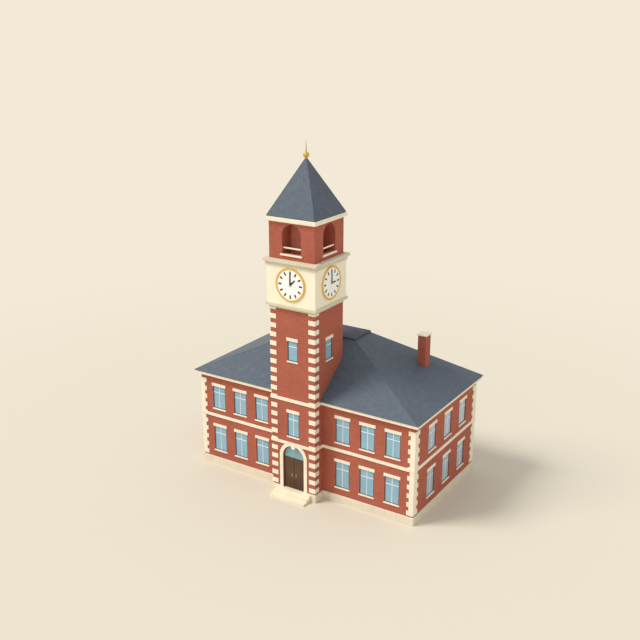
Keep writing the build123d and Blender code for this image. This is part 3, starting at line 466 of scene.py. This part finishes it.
def pane_finish(name, dark, light, end_reflection):
    """Old window glass, not quite flat, with a painted blue reflection of the sky, greyer in the
    end walls.
    """
    material, tree, shader, place = new_finish(name, roughness=0.08)
    shader.inputs["IOR"].default_value = GLASS_IOR
    shader.inputs["Transmission Weight"].default_value = LET_THROUGH
    # Painted reflection of the sky: a slow noise between two blues.
    sky = noise(tree, place, Scale=0.5, Detail=2.0)
    painted_sky = two_tone(tree, sky, dark, light)
    across = wire(tree, "SeparateXYZ", {"Vector": place}).outputs["X"]
    reach = reckon(tree, "ABSOLUTE", across)
    at_ends = reckon(tree, "GREATER_THAN", reach, END_PANES_FROM)
    mixed = wire(tree, "MixRGB", {"Fac": at_ends, "Color1": painted_sky, "Color2": end_reflection})
    tree.links.new(mixed.outputs[0], shader.inputs["Base Color"])
    waves = noise(tree, place, Scale=2.5, Detail=1.0)
    bump(tree, shader, waves, distance=GLASS_WAVES, strength=0.15)
    return material


# The blues of both panes are painted reflections of the sky.
pane = pane_finish("window_pane", paint(145, 188, 209), paint(157, 199, 219), END_PAINTED_REFLECTION)
fanlight_pane = pane_finish(
    "fanlight_pane", paint(134, 170, 186), paint(144, 180, 196), END_PAINTED_REFLECTION)
print("glass finishes:", pane.name, "and", fanlight_pane.name)

# %% [markdown]
# ## Finishes for the solids
# Most solids already have the right shape, and only need their finish. They could be copied
# into new pieces, but then any change to the model would have to be made twice. So each
# solid keeps its own mesh, and the finish goes into its material slots.

# %% Put the finishes on the solids
SIDES = ("front", "right", "back", "left")
SOLID_FINISHES = {
    brick: ["front_wall_left", "front_wall_right", "left_wall", "right_wall", "back_wall",
            "tower_piers", "tower_front_wall", "tower_right_wall", "tower_back_wall",
            "tower_left_wall", "chimney_stack", "belfry_piers", "belfry_walls"],
    recess_brick_painted_light: ["belfry_recesses"],
    render_coat: ["clock_walls"],
    slate: ["hip_roof", "spire_roof"],
    deck_lead: ["roof_deck"],
    floor_timber: ["block_floors", "tower_floors"],
    door_timber: ["door_frame", "door_leaf_left", "door_leaf_right"],
    pane: ["window_glass"],
    fanlight_pane: ["fanlight_glass"],
    polished_brass: ["door_hinges", "leaf_fittings_left", "leaf_fittings_right"],
    gilding: ["dial_rims"],
    weathered_gilding: ["finial"],
    dial_enamel: ["clock_dials"],
    black_paint: ["hour_marks"] + [
        hand + side for hand in ("minute_hand_", "hour_hand_") for side in SIDES],
}


def dress(obj, material):
    """Put one finish in every slot of a piece."""
    if not obj.data.materials:
        obj.data.materials.append(material)
    for index in range(len(obj.data.materials)):
        obj.data.materials[index] = material


for material, names in SOLID_FINISHES.items():
    for name in names:
        dress(nodes[name], material)
print("dressed", sum(len(names) for names in SOLID_FINISHES.values()), "solids")

# %% [markdown]
# ## New pieces
# A new piece starts as a bmesh, Blender's mesh in the making, where cubes, cylinders and
# spheres are added and then cut, bevelled or moved. `add_piece` turns it into an object that
# belongs to a moving body of the model, so that it goes along with a door or a clock hand.
# The solids arrive as loose triangles, which a bevel can't work on, so `joined_mesh` gives a
# copy whose triangles share their corners.

# %% Helpers for new pieces
MERGE_WITHIN = 0.0001           # corners closer than this are one corner


def add_piece(name, bm, material, body="building"):
    """Turn a bmesh into a piece that rides on a body."""
    mesh = bpy.data.meshes.new(name)
    bm.to_mesh(mesh)
    bm.free()
    piece = bpy.data.objects.new(name, mesh)
    bpy.context.scene.collection.objects.link(piece)
    mesh.materials.append(material)
    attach(piece, body)
    return piece


def joined_mesh(node):
    """Copy of a node's mesh with its loose triangles joined where they meet."""
    bm = bmesh.new()
    bm.from_mesh(nodes[node].data)
    bmesh.ops.remove_doubles(bm, verts=bm.verts, dist=MERGE_WITHIN)
    return bm


def box_of(node):
    """Lowest and highest corner of a node."""
    return tuple(Vector(corner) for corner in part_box(node))


print("the plinth is", round(box_of("plinth")[1].z, 3), "m high")

# %% [markdown]
# ## Eased edges on cut stone
# No mason leaves a knife edge. A small bevel catches the light and makes a block read as
# stone, where a sharp edge looks like paper. The edges could be cut in the CAD model, but
# that many narrow faces would only weigh it down. So the solid's triangles are joined, its
# flat faces dissolved, and only the sharp edges bevelled. The new piece stands in for the
# solid. The dark rims of the windows get the same, with a narrower edge.

# %% Helpers for eased edges
FLAT_WITHIN = 0.5               # degrees between two faces that are still one flat face
SHARP_FROM = 30                 # degrees from which an edge is sharp


def ease(bm, width, segments):
    """Bevel every sharp edge."""
    sharp = math.radians(SHARP_FROM)
    edges = [edge for edge in bm.edges if edge.calc_face_angle(0) > sharp]
    bmesh.ops.bevel(bm, geom=edges, offset=width, segments=segments, profile=0.5,
                    affect="EDGES", material=-1, clamp_overlap=True)


def eased_piece(node, name, material, width, segments=2):
    """Bevelled piece that stands in for one CAD node."""
    bm = joined_mesh(node)
    bmesh.ops.dissolve_limit(
        bm, angle_limit=math.radians(FLAT_WITHIN), verts=bm.verts, edges=bm.edges)
    ease(bm, width, segments)
    piece = add_piece(name, bm, material)
    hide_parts(node)
    print(name, len(piece.data.polygons), "faces")
    return piece


print("edges sharper than", SHARP_FROM, "degrees will be eased")

# %% Stone pieces with eased edges
STONE_PIECES = [                # node, new piece, finish, width of the eased edge
    ("plinth", "plinth_stones", plinth_stone, 0.015),
    ("string_courses", "string_course_stones", course_stone, 0.012),
    ("eaves_cornice", "eaves_cornice_stones", course_stone, 0.012),
    ("tower_cornices", "tower_cornice_stones", shaded_cornice_stone, 0.02),
    ("corner_quoins", "corner_quoin_stones", block_stone, 0.012),
    ("tower_quoins", "tower_quoin_stones", block_stone, 0.015),
    ("window_dressings", "lintels_and_sills", block_stone, 0.01),
    ("belfry_sills", "belfry_sill_stones", block_stone, 0.012),
    ("belfry_rails", "belfry_rail_stones", block_stone, 0.012),
    ("chimney_cap", "chimney_cap_stone", block_stone, 0.012),
]
stone_pieces = {}
for node, name, material, width in STONE_PIECES:
    stone_pieces[node] = eased_piece(node, name, material, width)
eased_piece("entrance_steps", "entrance_step_stones", step_stone, 0.02, segments=3)
eased_piece("door_surround", "door_surround_stones", block_stone, 0.012)
# Dark rims of the windows, partly painted shade around the panes.
eased_piece("window_frames", "window_rims", rim_paint_and_painted_shade, 0.005, segments=1)

# %% [markdown]
# ## The cornice under the spire
# The two cornices around the clocks carry painted shade, in a darker stone, while the one
# under the spire is the same plain stone as the courses of the block. All of them are one
# solid. It could be split, but faces can also pick their finish one by one: the piece gets a
# second material slot, and the faces above a level in the belfry use it.

# %% Plain stone, without painted shade, under the spire
PLAIN_STONE_FROM = 1.0                # height over the belfry's foot, well below the upper cornice
cornices = stone_pieces["tower_cornices"].data
# The first slot keeps the darker stone with painted shade; the second holds plain stone.
cornices.materials.append(course_stone)
plain_stone_level = box_of("belfry_piers")[0].z + PLAIN_STONE_FROM
for face in cornices.polygons:
    face.material_index = 1 if face.center.z > plain_stone_level else 0
print("stone without painted shade above", round(plain_stone_level, 2), "m:",
      sum(face.material_index for face in cornices.polygons), "faces")

# %% [markdown]
# ## Glazing bars
# Thin white bars divide the panes. Every window of the block has an upright bar in the
# middle and a cross bar a quarter of the way down, and so has the tower's window over the
# door. The small windows above it have the cross bar alone. Boolean cuts in the glass would
# be slow and would leave thin slivers, so the bars are boxes that stand through it. The
# panes are separate islands of one mesh, so each island's box says where its bars go.

# %% Find the panes


def islands(node):
    """Boxes of the separate solids in one node, as (lowest, highest) corners."""
    bm = joined_mesh(node)
    waiting = set(bm.verts)
    boxes = []
    for first in bm.verts:
        if first not in waiting:
            continue
        waiting.remove(first)
        reached = [first]
        for vert in reached:    # the list grows while it is read, until the island is whole
            for edge in vert.link_edges:
                other = edge.other_vert(vert)
                if other in waiting:
                    waiting.remove(other)
                    reached.append(other)
        spans = [[vert.co[axis] for vert in reached] for axis in range(3)]
        boxes.append((Vector([min(span) for span in spans]), Vector([max(span) for span in spans])))
    bm.free()
    return boxes


panes = islands("window_glass")
print(len(panes), "panes, from", round(min(low.z for low, high in panes), 2), "m up to",
      round(max(high.z for low, high in panes), 2), "m")

# %% Glazing bars
BAR_WIDTH = 0.05
BAR_DEPTH = 0.05
BAR_EASE = 0.006
TRANSOM_SHARE = 0.27            # how far down the pane the cross bar lies
MULLION_FROM = 0.95             # a pane wider than this gets an upright bar


def add_block(bm, centre, size, lie=Matrix()):
    """Box with the given centre and size, in the frame that it lies in."""
    box = Matrix.Translation(centre) @ Matrix.Diagonal((*size, 1.0))
    return bmesh.ops.create_cube(bm, size=1.0, matrix=lie @ box)["verts"]


def glazing_bars():
    """Bars of all the windows as one piece."""
    bm = bmesh.new()
    for low, high in panes:
        centre = (low + high) / 2
        size = high - low
        across = 0 if size.x > size.y else 1
        cross = [BAR_DEPTH, BAR_DEPTH, BAR_WIDTH]
        cross[across] = size[across]
        level = high.z - size.z * TRANSOM_SHARE
        add_block(bm, (centre.x, centre.y, level), cross)
        if size[across] > MULLION_FROM:
            upright = [BAR_DEPTH, BAR_DEPTH, size.z]
            upright[across] = BAR_WIDTH
            add_block(bm, centre, upright)
    ease(bm, BAR_EASE, segments=1)
    piece = add_piece("glazing_bars", bm, window_paint)
    return piece


bars = glazing_bars()
print("glazing bars", len(bars.data.polygons), "faces")

# %% [markdown]
# ## Slates
# A slate roof is laid from the eaves up. Each course overlaps the one below and is moved
# sideways by half a slate, so that no joint lies over another. A texture could draw slates,
# but it gives no steps at the hips and no edge that catches the light. So every slate is a
# thin box, tipped by the slate under it, and all of a roof's slates are one mesh. Slates a
# little off in width, tip and colour keep the roof from looking printed: their numbers come
# from a random draw with a fixed seed, so the roof is the same each time.

# %% One slope of slates
SLATE_WIDTH = 0.3               # with the gap to the next slate
SLATE_EXPOSURE = 0.22           # length of a slate that shows below the next course
SLATE_LAP = 0.05
SLATE_THICKNESS = 0.009
SLATE_GAP = 0.004
SLATE_RISE = 0.004              # lifts a slate, so that its head doesn't sink in the roof
TIP_SHARE = 0.8                 # slates lie a little flatter than their thickness alone gives
TIP_SPREAD = 0.09               # how far a slate may stray from that, either way
WIDTH_SPREAD = 0.003            # how much narrower than the others a slate may be


def slope_frame(low_left, low_right, top_middle):
    """Frame of a slope: x along the eaves, y up the slope, z off the roof."""
    along = (low_right - low_left).normalized()
    middle = (low_left + low_right) / 2
    up = top_middle - middle
    up = (up - along * up.dot(along)).normalized()
    turn = Matrix((along, up, along.cross(up))).transposed().to_4x4()
    return Matrix.Translation(middle) @ turn


def inside(point, box):
    """Whether a point lies in a box."""
    low, high = box
    return all(low[axis] < point[axis] < high[axis] for axis in range(3))


def lay_slates(bm, tone, place, half_eaves, half_top, length, chance, blocked):
    """Lay the courses of one slope, leaving out slates that lie inside a blocked box."""
    tip = math.atan2(SLATE_THICKNESS, SLATE_EXPOSURE)
    for course in range(math.ceil(length / SLATE_EXPOSURE)):
        tail = course * SLATE_EXPOSURE
        half = half_eaves + (half_top - half_eaves) * tail / length
        start = -half - (SLATE_WIDTH if course % 2 else SLATE_WIDTH / 2)
        count = math.ceil((half - start) / SLATE_WIDTH) + 1
        depth = min(SLATE_EXPOSURE + SLATE_LAP, length - tail)
        for index in range(count):
            x = start + index * SLATE_WIDTH
            middle = place @ Vector((x, tail + depth / 2, 0))
            if abs(x) > half + SLATE_WIDTH / 2 or any(inside(middle, box) for box in blocked):
                continue
            lean = (chance.uniform(-TIP_SPREAD, TIP_SPREAD) - TIP_SHARE) * tip
            width = SLATE_WIDTH - SLATE_GAP - chance.uniform(0, WIDTH_SPREAD)
            lie = Matrix.Translation((x, tail, SLATE_RISE)) @ Matrix.Rotation(lean, 4, "X")
            verts = add_block(bm, (0, depth / 2, SLATE_THICKNESS),
                              (width, depth, SLATE_THICKNESS), place @ lie)
            number = chance.random()
            for face in {face for vert in verts for face in vert.link_faces}:
                face[tone] = number


print("a slate of", SLATE_WIDTH, "by", SLATE_EXPOSURE + SLATE_LAP, "m shows", SLATE_EXPOSURE, "m")

# %% [markdown]
# ## Whole roofs
# A slater lays each slope a little too wide and trims it along the hip. The same works here:
# a slope is cut by an upright plane through each of its hips, and the cut ends are closed,
# so that every slate stays a solid box. Each slope is made in a bmesh of its own, because
# the cuts must not touch its neighbours, and then all four are gathered in one mesh. Slates
# that would lie inside the tower or the chimney are left out.

# %% Slopes, cut along the hips
CUT_WITHIN = 0.00001            # corners closer than this to a cutting plane lie on it


def cut_along(bm, point, outward):
    """Cut off what lies on the outward side of a plane and close the cut ends."""
    geometry = bm.verts[:] + bm.edges[:] + bm.faces[:]
    cut = bmesh.ops.bisect_plane(bm, geom=geometry, dist=CUT_WITHIN, plane_co=point,
                                 plane_no=outward, clear_outer=True)["geom_cut"]
    rims = [item for item in cut if isinstance(item, bmesh.types.BMEdge)]
    bmesh.ops.holes_fill(bm, edges=rims, sides=0)


def corners(low, high):
    """The four corners of a level rectangle, in order around it."""
    plan = ((low.x, low.y), (high.x, low.y), (high.x, high.y), (low.x, high.y))
    return [Vector((x, y, low.z)) for x, y in plan]


def slated_roof(name, eaves_line, top_line, seed, blocked=()):
    """Slates on the four slopes between the eaves rectangle and the top rectangle."""
    eaves, tops = corners(*eaves_line), corners(*top_line)
    whole = bmesh.new()
    chance = random.Random(seed)
    for index in range(4):
        following = (index + 1) % 4
        left, right = eaves[index], eaves[following]
        top_middle = (tops[index] + tops[following]) / 2
        length = (top_middle - (left + right) / 2).length
        slope = bmesh.new()
        tone = slope.faces.layers.float.new("tone")
        lay_slates(slope, tone, slope_frame(left, right, top_middle), (right - left).length / 2,
                   (tops[following] - tops[index]).length / 2, length, chance, blocked)
        for corner, top, along in ((left, tops[index], left - right),
                                   (right, tops[following], right - left)):
            outward = (top - corner).cross(Vector((0, 0, 1))).normalized()
            cut_along(slope, corner, outward if outward.dot(along) > 0 else -outward)
        part = bpy.data.meshes.new("slope")
        slope.to_mesh(part)
        slope.free()
        whole.from_mesh(part)
        bpy.data.meshes.remove(part)
    piece = add_piece(name, whole, slate)
    print(name, len(piece.data.polygons), "faces")


print("corners of the block's roof:",
      [(round(corner.x, 2), round(corner.y, 2)) for corner in corners(*box_of("hip_roof"))])

# %% [markdown]
# ## The two roofs
# The block has a hipped roof with a flat deck on top, and the tower a steep spire. Both are
# the same thing in numbers: a rectangle at the eaves and a smaller one at the top. They are
# measured on the solids, so the slates follow when a roof changes.

# %% Slates on the block and on the spire
HIP_EDGE = 0.02                 # upright edge of each roof over its cornice
SPIRE_EDGE = 0.05
LEVEL_WITHIN = 0.003            # corners closer than this to a height belong to it


def level_box(node, height):
    """Corners of the node's outline at one height."""
    points = [vert.co for vert in nodes[node].data.vertices
              if abs(vert.co.z - height) < LEVEL_WITHIN]
    low = Vector((min(p.x for p in points), min(p.y for p in points), height))
    high = Vector((max(p.x for p in points), max(p.y for p in points), height))
    return low, high


def roof_lines(node, edge):
    """Rectangles of a roof at its eaves and at its top."""
    low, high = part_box(node)
    eaves_line = [Vector((corner[0], corner[1], low[2] + edge)) for corner in (low, high)]
    return eaves_line, level_box(node, high[2])


hip_lines = roof_lines("hip_roof", HIP_EDGE)
spire_lines = roof_lines("spire_roof", SPIRE_EDGE)
tower_box = (box_of("tower_left_wall")[0], box_of("tower_right_wall")[1])
slated_roof("roof_slates", *hip_lines, seed=11, blocked=(tower_box, box_of("chimney_stack")))
slated_roof("spire_slates", *spire_lines, seed=12)

# %% [markdown]
# ## Lead rolls
# Where two slopes meet, sheet lead dressed over a round wooden roll covers the cut slates.
# The flat deck is lead too, in bays with a low roll between them. A roll could be a curve
# with a round bevel. As every run here is straight, a slim cylinder between two points is
# enough, with flat ends, and shaded smooth. At the eaves it starts one radius up the hip, so
# that its end doesn't stand out over the cornice.

# %% Lead rolls
HIP_ROLL = 0.026
DECK_ROLL = 0.012
DECK_BAY = 0.66
ROLL_SIDES = 12


def add_rod(bm, start, end, radius):
    """Cylinder between two points."""
    axis = end - start
    turn = axis.to_track_quat("Z", "Y").to_matrix().to_4x4()
    bmesh.ops.create_cone(bm, cap_ends=True, segments=ROLL_SIDES, radius1=radius, radius2=radius,
                          depth=axis.length, matrix=Matrix.Translation((start + end) / 2) @ turn)


def lead_rolls():
    """Rolls along all the hips, and across the deck."""
    bm = bmesh.new()
    for foot, head in (hip_lines, spire_lines):
        for low_corner, high_corner in zip(corners(*foot), corners(*head)):
            step = (high_corner - low_corner).normalized() * HIP_ROLL
            add_rod(bm, low_corner + step, high_corner, HIP_ROLL)
    low, high = box_of("roof_deck")
    bays = round((high.x - low.x) / DECK_BAY)
    for index in range(1, bays):
        x = low.x + (high.x - low.x) * index / bays
        add_rod(bm, Vector((x, low.y + DECK_ROLL, high.z)), Vector((x, high.y - DECK_ROLL, high.z)),
                DECK_ROLL)
    piece = add_piece("lead_rolls", bm, hip_lead)
    piece.data.shade_smooth()
    return piece


rolls = lead_rolls()
print("lead rolls", len(rolls.data.polygons), "faces")

# %% [markdown]
# ## Gilded caps on the clocks
# A small gilded dome covers the nut that holds the hands. It turns with the minute hand, so
# it rides on that body. It could be turned from a profile with a spin. Half a sphere,
# pressed flatter, has the same shape in two steps.

# %% Hand caps
CAP_RADIUS = 0.06
CAP_DEPTH = 0.03
CAP_SIDES = 24
CAP_RINGS = 12
OUTWARD = {"front": Vector((0, -1, 0)), "right": Vector((1, 0, 0)),
           "back": Vector((0, 1, 0)), "left": Vector((-1, 0, 0))}


def hand_cap(side):
    """Gilded dome on the front of one pair of hands."""
    low, high = box_of("minute_hand_" + side)
    dial_low, dial_high = box_of("clock_dials")
    outward = OUTWARD[side]
    centre = (low + high) / 2
    centre.z = (dial_low.z + dial_high.z) / 2
    face = max((low - centre).dot(outward), (high - centre).dot(outward))
    bm = bmesh.new()
    bmesh.ops.create_uvsphere(
        bm, u_segments=CAP_SIDES, v_segments=CAP_RINGS, radius=CAP_RADIUS)
    cut_along(bm, Vector((0, 0, 0)), Vector((0, 0, -1)))
    flatten = Matrix.Diagonal((1, 1, CAP_DEPTH / CAP_RADIUS, 1))
    turn = outward.to_track_quat("Z", "Y").to_matrix().to_4x4()
    place = Matrix.Translation(centre + outward * face) @ turn @ flatten
    bmesh.ops.transform(bm, verts=bm.verts, matrix=place)
    piece = add_piece("hand_cap_" + side, bm, gilding, "minute_" + side)
    piece.data.shade_smooth()
    print(piece.name, "at", [round(value, 3) for value in place.translation])


for side in SIDES:
    hand_cap(side)

# %% [markdown]
# ## Ground
# The building stands on one large pale sheet, which is not attached to any of the building's
# bodies. A plain colour would end in a hard horizon. So the sheet is an ordinary matt surface
# near the building, where it takes the shadow, and further out it fades into the colour that
# the camera sees as sky.

# %% Ground
GROUND_SIZE = 2500.0
GROUND_COLOUR = paint(221, 212, 194)
GROUND_SHEEN = 0.1
SKY_SEEN = paint(243, 233, 214)
FADE_FROM = 30.0                # distance from the building's middle where the fade starts
FADE_TO = 75.0


def ground():
    """Large pale floor that takes the sky's colour further out, so that no horizon shows."""
    bm = bmesh.new()
    bmesh.ops.create_grid(bm, x_segments=1, y_segments=1, size=GROUND_SIZE)
    mesh = bpy.data.meshes.new("ground")
    bm.to_mesh(mesh)
    bm.free()
    sheet = bpy.data.objects.new("ground", mesh)
    bpy.context.scene.collection.objects.link(sheet)
    material, tree, shader, place = new_finish("pale_ground", roughness=0.9)
    shader.inputs["Base Color"].default_value = GROUND_COLOUR
    shader.inputs["Specular IOR Level"].default_value = GROUND_SHEEN
    away = wire(tree, "VectorMath", {0: place}, operation="LENGTH").outputs["Value"]
    fade = wire(tree, "MapRange", {"Value": away, "From Min": FADE_FROM, "From Max": FADE_TO},
                interpolation_type="SMOOTHSTEP").outputs[0]
    plain = wire(tree, "Emission", {"Color": SKY_SEEN, "Strength": 1.0}).outputs[0]
    mixed = wire(tree, "MixShader", {0: fade, 1: shader.outputs[0], 2: plain}).outputs[0]
    tree.links.new(mixed, tree.nodes["Material Output"].inputs["Surface"])
    mesh.materials.append(material)
    return sheet


sheet = ground()
print("ground sheet, half its width:", max(vert.co.x for vert in sheet.data.vertices), "m")

# %% [markdown]
# ## Sun
# Light from one side shows the shape of a building: the front is bright, the right-hand
# side is in half shade, and mouldings draw soft lines. A sun lamp is only a direction, so
# its height and its bearing are all that it needs. A wide angle softens the edges of its
# shadows, as a thin cloud does.

# %% Sun
SUN_FROM = (-0.766, -0.643)     # where the sun stands, in plan
SUN_HEIGHT = 49.0               # degrees above the ground
SUN_STRENGTH = 2.1
SUN_SOFTNESS = 22.0             # how wide the sun looks, in degrees
SUN_COLOUR = (1.0, 0.98, 0.945)


def add_sun():
    """One soft, slightly warm sun from the left of the front."""
    lamp = bpy.data.lights.new("sun", "SUN")
    lamp.energy = SUN_STRENGTH
    lamp.angle = math.radians(SUN_SOFTNESS)
    lamp.color = SUN_COLOUR
    sun = bpy.data.objects.new("sun", lamp)
    height = math.tan(math.radians(SUN_HEIGHT)) * math.hypot(*SUN_FROM)
    sun.rotation_euler = Vector((*SUN_FROM, height)).to_track_quat("Z", "Y").to_euler()
    bpy.context.scene.collection.objects.link(sun)
    return sun


sun = add_sun()
print("sun turned by", [round(math.degrees(angle), 1) for angle in sun.rotation_euler], "degrees")

# %% [markdown]
# ## Sky
# An even sky fills the shadows. It should give a nearly white light and yet look like the
# ground to the camera, so that the two meet without a line, and two backgrounds make that
# possible. A Light Path node shows the pale one to the camera, to reflections and through
# glass, and everything else is lit by the other.

# %% Sky
SKY_LIGHT = (0.965, 0.985, 1.0, 1.0)
SKY_STRENGTH = 0.71


def add_sky():
    """Even sky light, with a backdrop of the ground's far colour."""
    world = bpy.data.worlds.new("sky")
    bpy.context.scene.world = world
    world.use_nodes = True
    tree = world.node_tree
    tree.nodes.clear()
    light = wire(tree, "Background", {"Color": SKY_LIGHT, "Strength": SKY_STRENGTH}).outputs[0]
    seen = wire(tree, "Background", {"Color": SKY_SEEN, "Strength": 1.0}).outputs[0]
    path = wire(tree, "LightPath").outputs
    glossy = reckon(tree, "MAXIMUM", path["Is Camera Ray"], path["Is Glossy Ray"])
    shown = reckon(tree, "MAXIMUM", glossy, path["Is Transmission Ray"])
    mixed = wire(tree, "MixShader", {0: shown, 1: light, 2: seen}).outputs[0]
    out = tree.nodes.new("ShaderNodeOutputWorld")
    tree.links.new(mixed, out.inputs["Surface"])
    return world


sky = add_sky()
print(sky.name, "of strength", SKY_STRENGTH)

# %% [markdown]
# ## Camera
# The camera stands well off the right-hand corner of the front, some ten metres above the
# finial, and looks down on the building. From far away and with a longer lens, upright lines
# stay nearly upright. Colours go to the screen by the Standard view, which shows them as
# they were written.

# %% Camera
VIEW_AZIMUTH = 32.6255          # degrees round to the right of the front
VIEW_ELEVATION = 18.5831        # degrees that the camera looks down
LENS = 51.09                    # millimetres
CAMERA_PLACE = (40.035, -64.536, 40.034)
SEES_AS_FAR_AS = 3000.0         # to the edge of the ground


def add_camera():
    """Camera that looks at the building from the right of the front."""
    data = bpy.data.cameras.new("camera")
    data.lens = LENS
    data.clip_end = SEES_AS_FAR_AS
    camera = bpy.data.objects.new("camera", data)
    camera.location = CAMERA_PLACE
    camera.rotation_euler = (math.radians(90 - VIEW_ELEVATION), 0, math.radians(VIEW_AZIMUTH))
    bpy.context.scene.collection.objects.link(camera)
    bpy.context.scene.camera = camera
    return camera


camera = add_camera()
bpy.context.scene.view_settings.view_transform = "Standard"
print("camera", round(camera.location.length, 1), "m from the middle of the building's foot")
